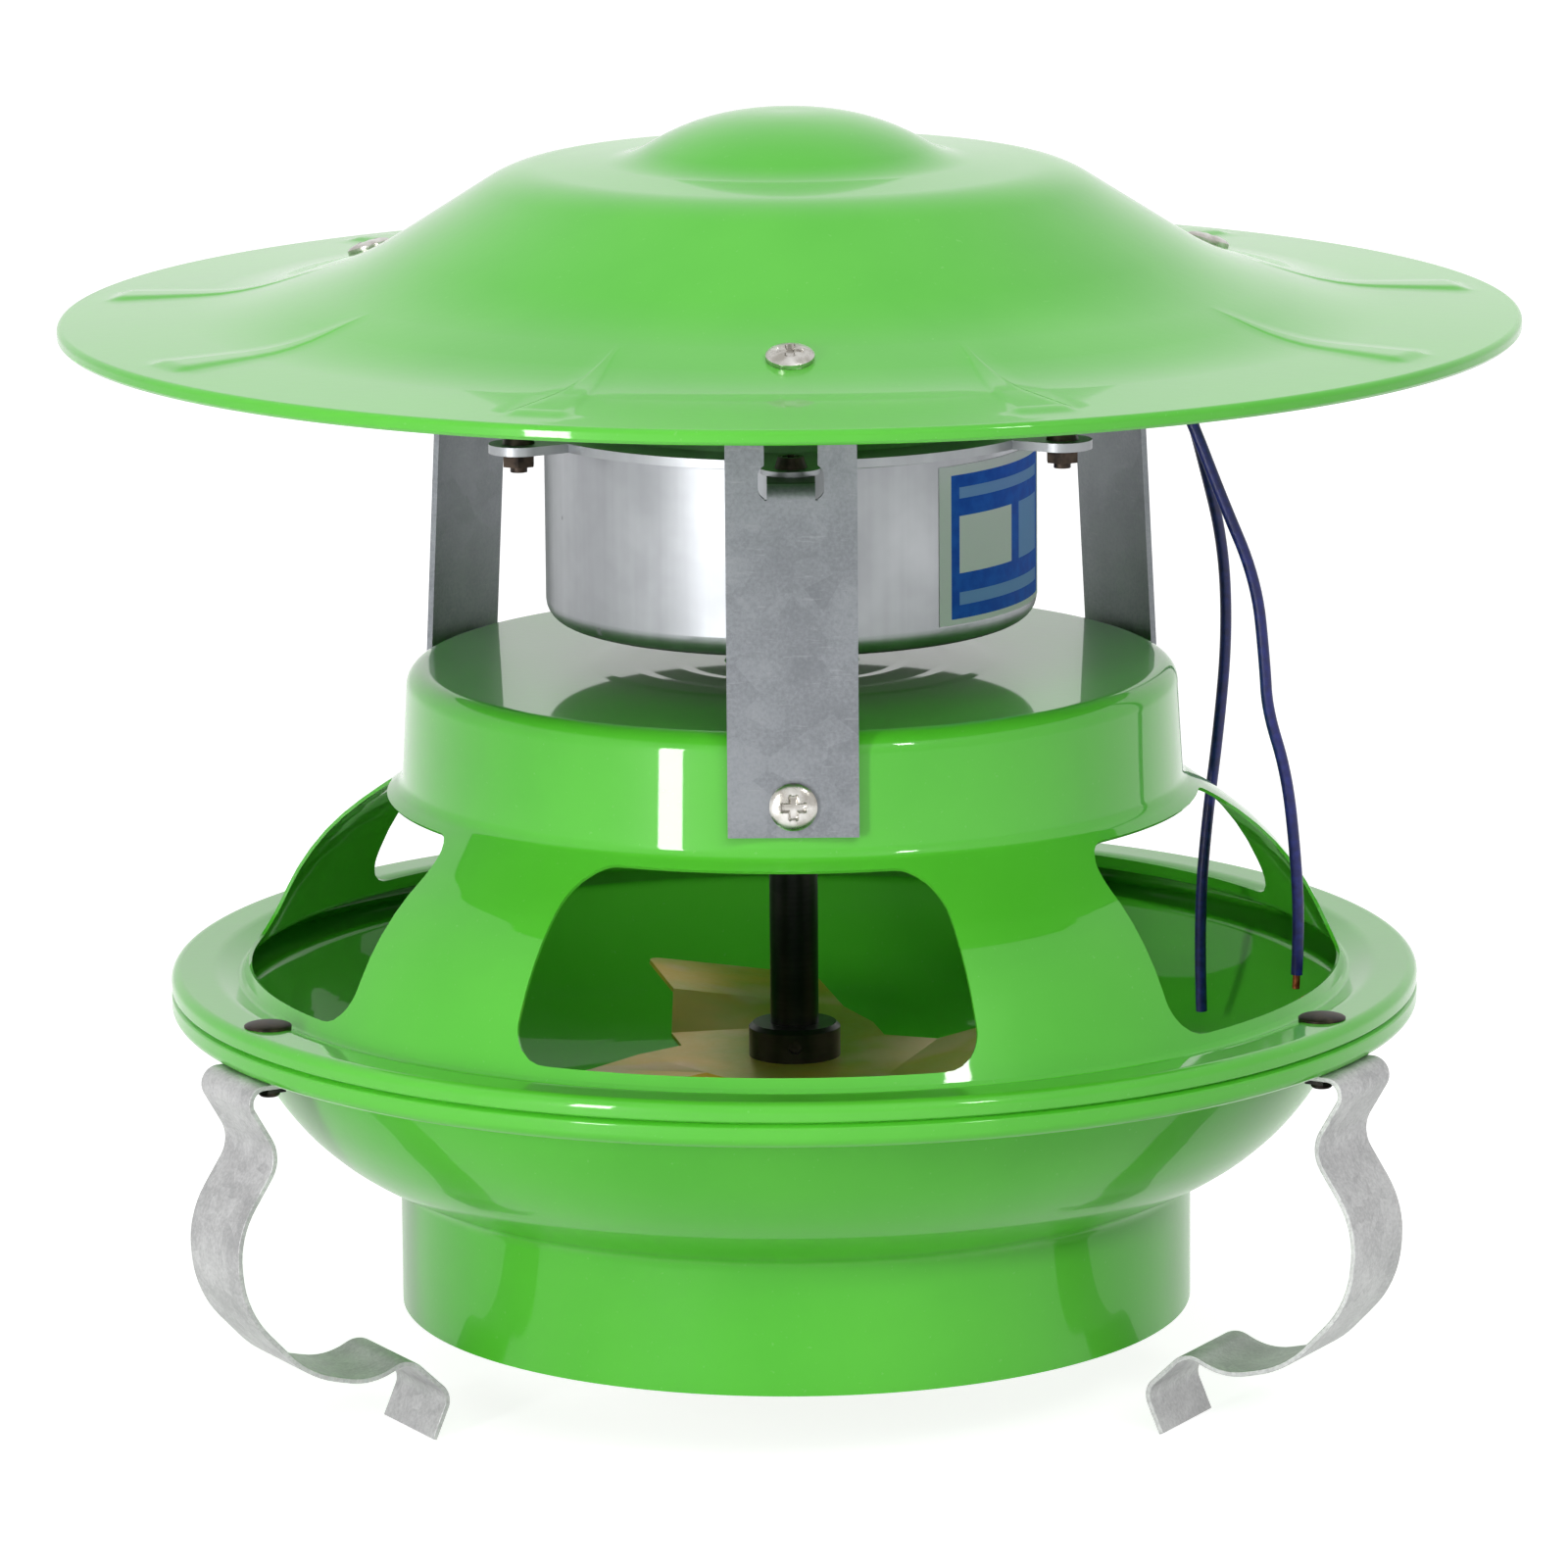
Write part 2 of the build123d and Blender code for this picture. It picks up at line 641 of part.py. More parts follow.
# Motor end cover: crowned disc with the upper bush seat, six ears and the lead hole
grommet_place = (grommet_offset[0], grommet_offset[1], end_crown_z)
end_boss_radius = bush_radius + end_wall
with BuildPart() as motor_end_cover:
    with BuildSketch(Plane.XZ) as section:
        with BuildLine():
            Polyline(
                (0, end_boss_z),
                (end_boss_radius, end_boss_z),
                (end_boss_radius, end_crown_z),
                (end_crown_radius, end_crown_z),
                (end_crown_radius + end_crown_slope, end_plate_z),
                (can_flange_radius, end_plate_z),
            )
            offset(amount=end_wall, side=Side.RIGHT)
        make_face()
    revolve(axis=Axis.Z)
    for azimuth in ear_azimuths:
        extrude(ear_outline(azimuth, end_plate_z), amount=-end_wall)
    with Locations(grommet_place):
        Hole(grommet_neck, depth=2 * end_wall)
finish(motor_end_cover, "motor_end_cover")

# Screws through the ears: three clamp the can, three hang the motor from the strap tongues
for label, azimuths, stack in (
    ("can_bolts", clip_azimuths.values(), end_wall + can_wall),
    ("tongue_bolts", strap_azimuths.values(), end_wall + strap_thickness),
):
    with BuildPart() as ear_bolts:
        for azimuth in azimuths:
            seat = level_plane(azimuth, ear_radius, end_plate_z)
            add_screw(seat, small_head, screw_head_height, small_shank, stack + nut_height + thread_end)
    finish(ear_bolts, label)

for label, azimuths, stack in (
    ("can_nuts", clip_azimuths.values(), end_wall + can_wall),
    ("tongue_nuts", strap_azimuths.values(), end_wall + strap_thickness),
):
    with BuildPart() as ear_nuts:
        for azimuth in azimuths:
            seat = level_plane(azimuth, ear_radius, end_plate_z - stack)
            add_nut(seat, small_nut, nut_height, small_shank + fit_clearance)
    finish(ear_nuts, label)

# Bushes: the lower one in the can's floor, the upper one in the end cover's boss
bush_lower_z = can_z + bush_seat - bush_length
bush_upper_z = end_boss_z - bush_seat - end_wall
for label, height in (("lower_bush", bush_lower_z), ("upper_bush", bush_upper_z)):
    with BuildPart() as bush:
        with BuildSketch(Plane.XY.offset(height)):
            Circle(bush_radius - fit_clearance)
            Circle(shaft_radius + running_clearance, mode=Mode.SUBTRACT)
        extrude(amount=bush_length)
    finish(bush, label)

# Stator: slotted core with a coil round each tooth
stator_radius = can_radius - can_wall - stator_clearance
stator_z = can_z + stator_rise
tooth_root = stator_radius - stator_ring
tooth_length = tooth_root - stator_inner_radius
tooth_middle = stator_inner_radius + tooth_length / 2
with BuildPart() as stator_core:
    with BuildSketch(Plane.XY.offset(stator_z)):
        Circle(stator_radius)
        Circle(tooth_root, mode=Mode.SUBTRACT)
        with PolarLocations(tooth_middle, tooth_count):
            Rectangle(tooth_length + stator_ring, tooth_width)
        with PolarLocations(stator_inner_radius + tooth_shoe / 2, tooth_count):
            Rectangle(tooth_shoe, tooth_shoe_width)
        Circle(stator_inner_radius, mode=Mode.SUBTRACT)
    extrude(amount=stator_length)
finish(stator_core, "stator_core")

coil_inner = stator_inner_radius + tooth_shoe + coil_clearance
coil_depth = tooth_root - coil_inner - stator_ring / 2
coil_hole = tooth_width + 2 * coil_clearance
coil_length = stator_length + 2 * coil_end
coil_mid_z = stator_z + stator_length / 2
with BuildPart() as stator_coils:
    for index in range(tooth_count):
        direction = Vector(1, 0, 0).rotate(Axis.Z, index * 360 / tooth_count)
        foot = direction * coil_inner + Vector(0, 0, coil_mid_z)
        with BuildSketch(Plane(origin=foot, x_dir=(0, 0, 1), z_dir=direction)) as turns:
            RectangleRounded(coil_length, coil_hole + 2 * coil_thickness, coil_round)
            Rectangle(stator_length + 2 * coil_clearance, coil_hole, mode=Mode.SUBTRACT)
        extrude(turns.sketch, amount=coil_depth)
finish(stator_coils, "stator_coils")

# Rotor: core and stop rings on the shaft that carries the impeller
rotor_radius = stator_inner_radius - rotor_gap
with BuildPart() as rotor_core:
    with BuildSketch(Plane.XY.offset(stator_z)):
        Circle(rotor_radius)
        Circle(shaft_radius + fit_clearance, mode=Mode.SUBTRACT)
    extrude(amount=stator_length)
finish(rotor_core, "rotor_core")

shaft_top_z = bush_upper_z + bush_length
shaft_bottom_z = impeller_z - shaft_tail
with BuildPart() as shaft:
    with BuildSketch(Plane.XY.offset(shaft_bottom_z)):
        Circle(shaft_radius)
    extrude(amount=shaft_top_z - shaft_bottom_z)
    chamfer(shaft.edges().group_by(Axis.Z)[0], length=hub_bevel)
finish(shaft, "shaft")

with BuildPart() as stop_rings:
    for height in (
        bush_lower_z + bush_length + stop_ring_play,
        bush_upper_z - stop_ring_play - stop_ring_height,
    ):
        with BuildSketch(Plane.XY.offset(height)):
            Circle(stop_ring_radius)
            Circle(shaft_radius + fit_clearance, mode=Mode.SUBTRACT)
        extrude(amount=stop_ring_height)
finish(stop_rings, "stop_rings")

# Impeller: one stamped sheet, a flat centre with three arms that twist into blades
blade_rise = blade_width / 2 * sin(radians(blade_pitch))
blade_stations = (
    (blade_root_radius, blade_root_width, 0, 0),
    (blade_twist_radius, blade_width, blade_pitch, blade_rise),
    (blade_tip_radius, blade_width, blade_pitch, blade_rise),
)
with BuildPart() as blade:
    for radius, width, pitch, rise in blade_stations:
        origin = outward(0) * radius + Vector(0, 0, impeller_z + impeller_sheet / 2 + rise)
        across = outward(90) * cos(radians(pitch)) + Vector(0, 0, sin(radians(pitch)))
        with BuildSketch(Plane(origin=origin, x_dir=across, z_dir=outward(0))):
            Rectangle(width, impeller_sheet)
    loft(ruled=True)
    tip = blade.faces().sort_by(Axis.Y)[0]
    fillet(tip.edges().filter_by(lambda edge: edge.length < 2 * impeller_sheet), radius=blade_round)

with BuildPart() as impeller:
    with BuildSketch(Plane.XY.offset(impeller_z)):
        Circle(impeller_centre_radius)
        with PolarLocations(blade_root_radius / 2, blade_count, start_angle=blade_phase - 90):
            Rectangle(blade_root_radius, blade_root_width)
        Circle(shaft_radius + fit_clearance, mode=Mode.SUBTRACT)
    extrude(amount=impeller_sheet)
    with PolarLocations(0, blade_count, start_angle=blade_phase):
        add(blade.part)
finish(impeller, "impeller")

hub_z = impeller_z + impeller_sheet
with BuildPart() as impeller_hub:
    with BuildSketch(Plane.XY.offset(hub_z)):
        Circle(hub_radius)
    extrude(amount=hub_height)
    chamfer(impeller_hub.edges().group_by(Axis.Z)[-1], length=hub_bevel)
    with BuildSketch(Plane.XY.offset(hub_z)):
        Circle(shaft_radius + fit_clearance)
    extrude(amount=hub_height, mode=Mode.SUBTRACT)
    set_screw_mouth = outward(0) * hub_radius + Vector(0, 0, hub_z + hub_height / 2)
    with Locations(Plane(origin=set_screw_mouth, z_dir=outward(0))):
        Hole(set_screw_radius + fit_clearance, depth=hub_radius)
finish(impeller_hub, "impeller_hub")

with BuildPart() as hub_set_screw:
    origin = outward(0) * (shaft_radius + contact_gap) + Vector(0, 0, hub_z + hub_height / 2)
    with BuildSketch(Plane(origin=origin, z_dir=outward(0))):
        Circle(set_screw_radius)
    extrude(amount=hub_radius - shaft_radius - hub_bevel)
finish(hub_set_screw, "hub_set_screw")

with BuildPart() as impeller_washer:
    with BuildSketch(Plane.XY.offset(impeller_z - washer_height)):
        Circle(washer_radius)
        Circle(shaft_radius + fit_clearance, mode=Mode.SUBTRACT)
    extrude(amount=washer_height)
finish(impeller_washer, "impeller_washer")

with BuildPart() as impeller_nut:
    seat = Plane.XY.offset(impeller_z - washer_height)
    add_nut(seat, shaft_nut, shaft_nut_height, shaft_radius + fit_clearance)
finish(impeller_nut, "impeller_nut")

# Maker's sticker, left blank, on the can's side
label_z = can_z + can_corner + label_lift
with BuildPart() as motor_label:
    with BuildSketch(radial_plane(label_phase - label_angle / 2)):
        with BuildLine():
            Polyline(
                (can_radius + contact_gap, label_z),
                (can_radius + contact_gap + label_thickness, label_z),
                (can_radius + contact_gap + label_thickness, label_z + label_height),
                (can_radius + contact_gap, label_z + label_height),
                close=True,
            )
        make_face()
    revolve(axis=Axis.Z, revolution_arc=label_angle)
finish(motor_label, "motor_label")

# Lead grommet and the two hanging leads
grommet_top_z = end_crown_z + grommet_height
with BuildPart() as lead_grommet:
    with BuildSketch(Plane((*grommet_offset, end_crown_z))):
        Circle(grommet_radius)
    extrude(amount=grommet_height, taper=grommet_taper_angle)
    with BuildSketch(Plane((*grommet_offset, end_crown_z))):
        Circle(grommet_neck - fit_clearance)
    extrude(amount=-2 * end_wall)
finish(lead_grommet, "lead_grommet")

lead_start_x = grommet_offset[0]
inner_lead_y = grommet_offset[1] + lead_spacing / 2
outer_lead_y = grommet_offset[1] - lead_spacing / 2
lead_routes = {
    "inner_lead": (
        (lead_start_x, inner_lead_y, grommet_top_z),
        (lead_start_x, inner_lead_y, 257.0),
        (46.0, 4.0, 268.0),
        (64.0, 10.0, 267.0),
        (83.0, 19.0, 255.0),
        (94.0, 33.0, 236.0),
        (100.0, 46.0, 214.0),
        (105.4, 52.0, 192.0),
        (106.4, 53.0, 169.0),
        (104.4, 52.0, 146.0),
        (101.4, 52.0, 122.0),
        (99.6, 51.2, 98.0),
        (100.3, 52.0, 75.0),
    ),
    "outer_lead": (
        (lead_start_x, outer_lead_y, grommet_top_z),
        (lead_start_x, outer_lead_y, 258.0),
        (46.0, -8.0, 270.0),
        (64.0, -11.0, 270.0),
        (82.0, -14.0, 258.0),
        (93.0, -17.0, 237.0),
        (101.0, -20.0, 216.0),
        (109.4, -21.0, 196.0),
        (111.4, -21.4, 176.0),
        (112.0, -21.0, 165.0),
        (116.6, -21.0, 150.0),
        (118.8, -20.6, 131.0),
        (119.8, -21.0, 113.0),
        (119.2, -21.4, 101.0),
    ),
}
for label, route in lead_routes.items():
    points = [Vector(*point) for point in route]
    runs = [after - before for before, after in zip(points, points[1:])]
    bends = []
    for before, after in zip(runs, runs[1:]):
        shorter = min(before.length, after.length)
        bends.append(0.45 * shorter / tan(radians(before.get_angle(after)) / 2))
    with BuildPart() as lead:
        with BuildLine() as route_line:
            FilletPolyline(*points, radius=bends)
        with BuildSketch(Plane(origin=points[0], z_dir=runs[0])):
            Circle(lead_radius)
        sweep(path=route_line.wires()[0])
    finish(lead, label)
    print(label, "length", round(route_line.wires()[0].length, 1), "least bend", round(min(bends), 1))
    print("volume share", round(lead.part.volume / (pi * lead_radius**2 * route_line.wires()[0].length), 4))

lead_end = Vector(*lead_routes["outer_lead"][-1])
lead_fall = lead_end - Vector(*lead_routes["outer_lead"][-2])
with BuildPart() as lead_tip:
    with BuildSketch(Plane(origin=lead_end, z_dir=lead_fall)):
        Circle(lead_tip_radius)
    extrude(amount=lead_tip_length)
finish(lead_tip, "lead_tip")
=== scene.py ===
import math

import bpy
import numpy as np
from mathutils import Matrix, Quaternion, Vector


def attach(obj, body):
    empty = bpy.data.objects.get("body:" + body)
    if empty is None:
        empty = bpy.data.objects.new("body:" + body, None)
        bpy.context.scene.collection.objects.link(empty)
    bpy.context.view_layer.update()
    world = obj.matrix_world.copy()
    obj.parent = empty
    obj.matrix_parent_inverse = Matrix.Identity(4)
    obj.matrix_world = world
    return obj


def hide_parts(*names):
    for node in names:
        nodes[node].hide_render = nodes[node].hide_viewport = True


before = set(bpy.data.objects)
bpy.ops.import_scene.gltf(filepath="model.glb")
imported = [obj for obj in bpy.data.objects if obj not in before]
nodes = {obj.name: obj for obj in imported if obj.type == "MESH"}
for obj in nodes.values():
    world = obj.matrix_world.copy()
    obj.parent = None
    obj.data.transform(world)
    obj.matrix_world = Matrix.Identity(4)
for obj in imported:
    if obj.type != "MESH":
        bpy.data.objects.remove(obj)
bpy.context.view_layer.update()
mm = 0.001
print("frame loaded:", len(nodes), "nodes")


# camera, in mm; the focal length is in pixels of a 1600 pixel frame
cameraSettings = {"place": (-2.1, -2000.0, 560.0), "aim": (-2.1, 0.0, 143.7), "focal": 8730.0,
                  "frame": 1600.0, "sensor": 36.0, "roll": 0.45, "farthest": 50.0}


def addCamera(s):
    data = bpy.data.cameras.new("viewCamera")
    data.sensor_width = s["sensor"]
    data.lens = s["focal"] / s["frame"] * s["sensor"]
    data.clip_end = s["farthest"]
    camera = bpy.data.objects.new("viewCamera", data)
    place = Vector(s["place"]) * mm
    look = (Vector(s["aim"]) * mm - place).to_track_quat("-Z", "Y")
    camera.rotation_mode = "QUATERNION"
    camera.rotation_quaternion = look @ Quaternion((0, 0, 1), math.radians(-s["roll"]))
    camera.location = place
    bpy.context.scene.collection.objects.link(camera)
    bpy.context.scene.camera = camera


addCamera(cameraSettings)
print("camera placed")


# shader helpers: a wire is one socket, and sums of wires add Math nodes
class Wire:
    def __init__(self, tree, socket=None):
        self.tree = tree
        self.socket = socket

    # any node: its settings first, then the values or wires of its inputs
    def node(self, kind, settings=None, inputs=None, out=0):
        made = self.tree.nodes.new(kind)
        for key, value in (settings or {}).items():
            setattr(made, key, value)
        for key, value in (inputs or {}).items():
            if isinstance(value, Wire):
                self.tree.links.new(value.socket, made.inputs[key])
            else:
                made.inputs[key].default_value = value
        return Wire(self.tree, made.outputs[out])

    def maths(self, operation, other=0.0, swapped=False):
        first, second = (other, self) if swapped else (self, other)
        return self.node("ShaderNodeMath", {"operation": operation}, {0: first, 1: second})

    def __add__(self, other):
        return self.maths("ADD", other)

    def __radd__(self, other):
        return self.maths("ADD", other, True)

    def __sub__(self, other):
        return self.maths("SUBTRACT", other)

    def __rsub__(self, other):
        return self.maths("SUBTRACT", other, True)

    def __mul__(self, other):
        return self.maths("MULTIPLY", other)

    def __rmul__(self, other):
        return self.maths("MULTIPLY", other, True)

    def __gt__(self, other):
        return self.maths("GREATER_THAN", other)

    def __lt__(self, other):
        return self.maths("LESS_THAN", other)

    # smooth 0 to 1 as the value goes from low to high
    def rise(self, low, high):
        settings = {"interpolation_type": "SMOOTHSTEP"}
        return self.node("ShaderNodeMapRange", settings, {0: self, 1: low, 2: high})


def linear(red, green, blue):
    srgb = np.array((red, green, blue)) / 255.0
    flat = np.where(srgb <= 0.04045, srgb / 12.92, ((srgb + 0.055) / 1.055) ** 2.4)
    return (*flat.tolist(), 1.0)


def startMaterial(name, **uniform):
    material = bpy.data.materials.new(name)
    material.use_nodes = True
    tree = material.node_tree
    shader = tree.nodes["Principled BSDF"]
    for key, value in uniform.items():
        shader.inputs[key.replace("_", " ")].default_value = value
    return material, Wire(tree), shader


def feed(shader, name, wire):
    wire.tree.links.new(wire.socket, shader.inputs[name])


def place(wire):
    return wire.node("ShaderNodeTexCoord", out="Object")


def coordinate(wire, coords, letter):
    return wire.node("ShaderNodeSeparateXYZ", None, {0: coords}, out=letter)


def noise(wire, coords, scale, detail=3.0, roughness=0.5):
    inputs = {"Vector": coords, "Scale": scale, "Detail": detail, "Roughness": roughness}
    return wire.node("ShaderNodeTexNoise", None, inputs)


def stretch(wire, coords, scale):
    return wire.node("ShaderNodeMapping", None, {"Vector": coords, "Scale": scale})


def mix(wire, share, first, second):
    return wire.node("ShaderNodeMix", {"data_type": "RGBA"}, {0: share, 6: first, 7: second}, out=2)


def bump(wire, shader, height, strength, distance):
    inputs = {"Height": height, "Strength": strength, "Distance": distance}
    feed(shader, "Normal", wire.node("ShaderNodeBump", None, inputs))


# gloss paint: clouds of two greens, faint dust and an orange peel skin; the bowl's gloss is duller
def greenPaint():
    material, w, shader = startMaterial("greenPaint", Coat_Roughness=0.04, Coat_IOR=1.5,
                                        Specular_IOR_Level=0.15)
    at = place(w)
    cloud = noise(w, at, 14.0, 4.0)
    dust = noise(w, at, 900.0, 2.0).rise(0.68, 0.8)
    base = mix(w, cloud.rise(0.3, 0.7), linear(80, 190, 44), linear(90, 199, 54))
    feed(shader, "Base Color", mix(w, dust * 0.1, base, linear(190, 215, 180)))
    feed(shader, "Roughness", 0.3 + 0.1 * cloud + 0.2 * dust)
    height = coordinate(w, at, "Z")
    feed(shader, "Coat Weight", 0.5 + 0.32 * height.rise(0.085, 0.1) - 0.3 * dust)
    bump(w, shader, noise(w, at, 420.0, 2.0), 0.04, 0.0005)
    return material


# hot-dip zinc: faint spangles, fine grain and drawn scratches; what lies within a radius and above a height,
# as the straps' tongues in their slots do, is painted shade: near black and less metallic
def galvanised(name, dark, pale, spangle, metal, paintedShadeRadius, paintedShadeHeight):
    material, w, shader = startMaterial(name)
    at = place(w)
    warp = noise(w, at, 60.0, 3.0)
    cells = w.node("ShaderNodeTexVoronoi", None, {"Vector": at, "Scale": spangle}, out="Color")
    flake = w.node("ShaderNodeRGBToBW", None, {0: cells})
    fine = noise(w, at, 1100.0, 4.0, 0.7)
    scratch = noise(w, stretch(w, at, (180.0, 180.0, 1600.0)), 1.0, 2.0).rise(0.62, 0.74)
    tone = flake * 0.16 + fine * 0.55 + warp * 0.4
    x, y = coordinate(w, at, "X"), coordinate(w, at, "Y")
    # painted shade: the tongues, which sit in shade under the cap, are masked here and darkened to near black
    # below
    paintedSlotShade = ((x * x + y * y).maths("SQRT") < paintedShadeRadius) * (coordinate(w, at, "Z") > paintedShadeHeight)
    base = mix(w, tone.rise(0.3, 0.8), dark, pale)
    base = mix(w, scratch * 0.14, base, linear(186, 188, 191))
    feed(shader, "Base Color", mix(w, paintedSlotShade * 0.9, base, linear(26, 28, 27)))
    feed(shader, "Roughness", 0.36 + 0.1 * flake + 0.16 * fine)
    feed(shader, "Metallic", metal - 0.15 * warp - 0.5 * paintedSlotShade)
    bump(w, shader, fine + 0.3 * flake, 0.1, 0.0003)
    return material


# drawn aluminium: upright streaks, clouds and a few dark specks; below the can's floor, painted shade makes
# it dark, duller and less metallic
def drawnAluminium():
    material, w, shader = startMaterial("drawnAluminium")
    at = place(w)
    streak = noise(w, stretch(w, at, (120.0, 120.0, 5.0)), 1.0, 3.0, 0.6)
    cloud = noise(w, at, 26.0, 4.0, 0.6)
    spots = noise(w, at, 95.0, 3.0, 0.7).rise(0.71, 0.76)
    height = coordinate(w, at, "Z")
    # painted shade: everything below the can's floor height is darkened towards a greenish dark, as if unlit
    paintedUnderShade = 1.0 - height.rise(0.1852, 0.1866)
    tone = (streak * 0.35 + cloud * 0.6).rise(0.3, 0.75)
    base = mix(w, tone, linear(148, 150, 154), linear(182, 184, 188))
    base = mix(w, spots * 0.55, base, linear(96, 98, 100))
    feed(shader, "Base Color", mix(w, paintedUnderShade * 0.92, base, linear(46, 50, 46)))
    feed(shader, "Roughness", 0.36 + 0.12 * streak + 0.2 * spots + 0.2 * paintedUnderShade)
    feed(shader, "Metallic", 0.95 - 0.4 * spots - 0.5 * paintedUnderShade)
    bump(w, shader, streak + 0.6 * cloud, 0.06, 0.0003)
    return material


# yellow passivation: olive gold with pinkish patches
def passivatedGold():
    material, w, shader = startMaterial("passivatedGold")
    at = place(w)
    wash = noise(w, at, 22.0, 3.0, 0.55)
    fine = noise(w, at, 600.0, 3.0)
    patch = noise(w, at, 34.0, 2.0).rise(0.52, 0.64)
    gold = mix(w, wash.rise(0.4, 0.66), linear(178, 174, 66), linear(222, 178, 70))
    feed(shader, "Base Color", mix(w, patch * 0.7, gold, linear(226, 188, 156)))
    feed(shader, "Roughness", 0.3 + 0.18 * fine)
    feed(shader, "Metallic", 0.5 - 0.1 * fine)
    bump(w, shader, fine, 0.08, 0.0002)
    return material


# blackened steel: turned rings and oily smears
def blackenedSteel():
    material, w, shader = startMaterial("blackenedSteel")
    at = place(w)
    turned = noise(w, stretch(w, at, (90.0, 90.0, 1500.0)), 1.0, 2.0)
    smear = noise(w, at, 70.0, 4.0)
    base = mix(w, smear.rise(0.4, 0.75), linear(22, 25, 23), linear(48, 47, 43))
    feed(shader, "Base Color", base)
    feed(shader, "Roughness", 0.24 + 0.25 * smear)
    feed(shader, "Metallic", 0.55 + 0.2 * turned)
    bump(w, shader, turned, 0.12, 0.0002)
    return material


# one metal or rubber from two tones and a grain
def plainFinish(name, dark, pale, rough, metal, scale):
    material, w, shader = startMaterial(name)
    grain = noise(w, place(w), scale, 3.0)
    feed(shader, "Base Color", mix(w, grain.rise(0.3, 0.75), dark, pale))
    feed(shader, "Roughness", rough + 0.15 * grain)
    feed(shader, "Metallic", metal - 0.05 * grain)
    bump(w, shader, grain, 0.1, 0.0002)
    return material


# sticker: fields in azimuth and height, as shares of its width and height
sticker = {"azimuth": (36.0, 86.0), "height": (190.4, 227.9),
           "blue": (0.07, 0.93, 0.035, 0.94),
           "boxes": [(0.12, 0.52, 0.32, 0.68)],
           "stripes": [(0.12, 0.88, 0.79, 0.86), (0.12, 0.88, 0.12, 0.2), (0.6, 0.88, 0.32, 0.68)]}


def printedSticker(s):
    material, w, shader = startMaterial("printedSticker", Metallic=0.0, Specular_IOR_Level=0.12)
    at = place(w)
    turn = coordinate(w, at, "X").maths("ARCTAN2", -1.0 * coordinate(w, at, "Y")) * (180.0 / math.pi)
    across = (turn - s["azimuth"][0]) * (1.0 / (s["azimuth"][1] - s["azimuth"][0]))
    height = coordinate(w, at, "Z") * (1.0 / mm)
    up = (height - s["height"][0]) * (1.0 / (s["height"][1] - s["height"][0]))

    def field(left, right, low, high):
        return (across > left) * (across < right) * (up > low) * (up < high)

    fade = noise(w, at, 300.0, 3.0)
    blue = mix(w, fade.rise(0.3, 0.7), linear(26, 88, 204), linear(38, 104, 220))
    white = linear(232, 235, 240)
    base = mix(w, field(*s["blue"]), white, blue)
    for fields, tone in ((s["boxes"], white), (s["stripes"], linear(128, 168, 236))):
        for edges in fields:
            base = mix(w, field(*edges), base, tone)
    feed(shader, "Base Color", base)
    feed(shader, "Roughness", 0.55 + 0.15 * fade)
    return material


finish = {
    "paint": greenPaint(),
    # the straps' tongues take painted shade within this radius and above this height; the clips take none
    "strap": galvanised("galvanisedStrap", linear(116, 119, 124), linear(146, 149, 154),
                        spangle=150.0, metal=0.95, paintedShadeRadius=0.0874, paintedShadeHeight=0.2284),
    "clip": galvanised("galvanisedClip", linear(160, 160, 161), linear(212, 212, 212),
                       spangle=260.0, metal=0.7, paintedShadeRadius=0.0, paintedShadeHeight=1.0),
    "can": drawnAluminium(),
    "gold": passivatedGold(),
    "black": blackenedSteel(),
    "zinc": plainFinish("zincPlate", linear(168, 164, 156), linear(226, 224, 220), 0.2, 0.98, 240.0),
    "darkBolt": plainFinish("darkBolt", linear(34, 28, 25), linear(74, 62, 53), 0.4, 0.8, 320.0),
    "nut": plainFinish("blackNut", linear(26, 26, 26), linear(58, 56, 52), 0.35, 0.7, 500.0),
    "bronze": plainFinish("sinteredBronze", linear(120, 86, 52), linear(158, 120, 76), 0.4, 0.85, 900.0),
    "core": plainFinish("coreSheet", linear(58, 58, 60), linear(92, 92, 94), 0.45, 0.7, 500.0),
    "copper": plainFinish("bareCopper", linear(150, 70, 42), linear(206, 118, 78), 0.3, 0.9, 800.0),
    "rubber": plainFinish("grommetRubber", linear(16, 16, 17), linear(34, 34, 36), 0.6, 0.05, 700.0),
    "lead": plainFinish("leadInsulation", linear(16, 22, 84), linear(30, 38, 118), 0.32, 0.05, 500.0),
    "sticker": printedSticker(sticker),
}
print("finishes made:", len(finish))


# soft studio: a pale floor that glows a little, a pale world and four lamps
studio = {"floorSize": 9.0, "floorTone": 0.48, "floorGlow": (0.1, 0.82), "worldTone": 0.2}
lamps = {
    "keyStrip": {"place": (-0.65, -0.95, 0.26), "aim": (0, 0, 0.26), "size": (0.14, 0.5), "power": 5.5},
    "fillBox": {"place": (1.15, -1.6, 1.5), "aim": (0, 0, 0.15), "size": (0.2, 0.34), "power": 6.4},
    "frontBox": {"place": (0.5, -2.6, 2.1), "aim": (0, 0, 0.15), "size": (2.4, 1.2), "power": 31.0,
                 "mirrored": False},
    "topBox": {"place": (-0.1, 0.3, 2.6), "aim": (0, 0, 0.2), "size": (3.4, 3.4), "power": 33.0,
               "mirrored": False},
}


def grey(tone):
    return (tone, tone, tone, 1.0)


# 1 for what the camera sees itself, in a mirror or through glass, else 0
def seenDirectly(w):
    rays = [w.node("ShaderNodeLightPath", out=name) for name in
            ("Is Camera Ray", "Is Glossy Ray", "Is Transmission Ray")]
    return (rays[0] + rays[1] + rays[2]).maths("MINIMUM", 1.0)


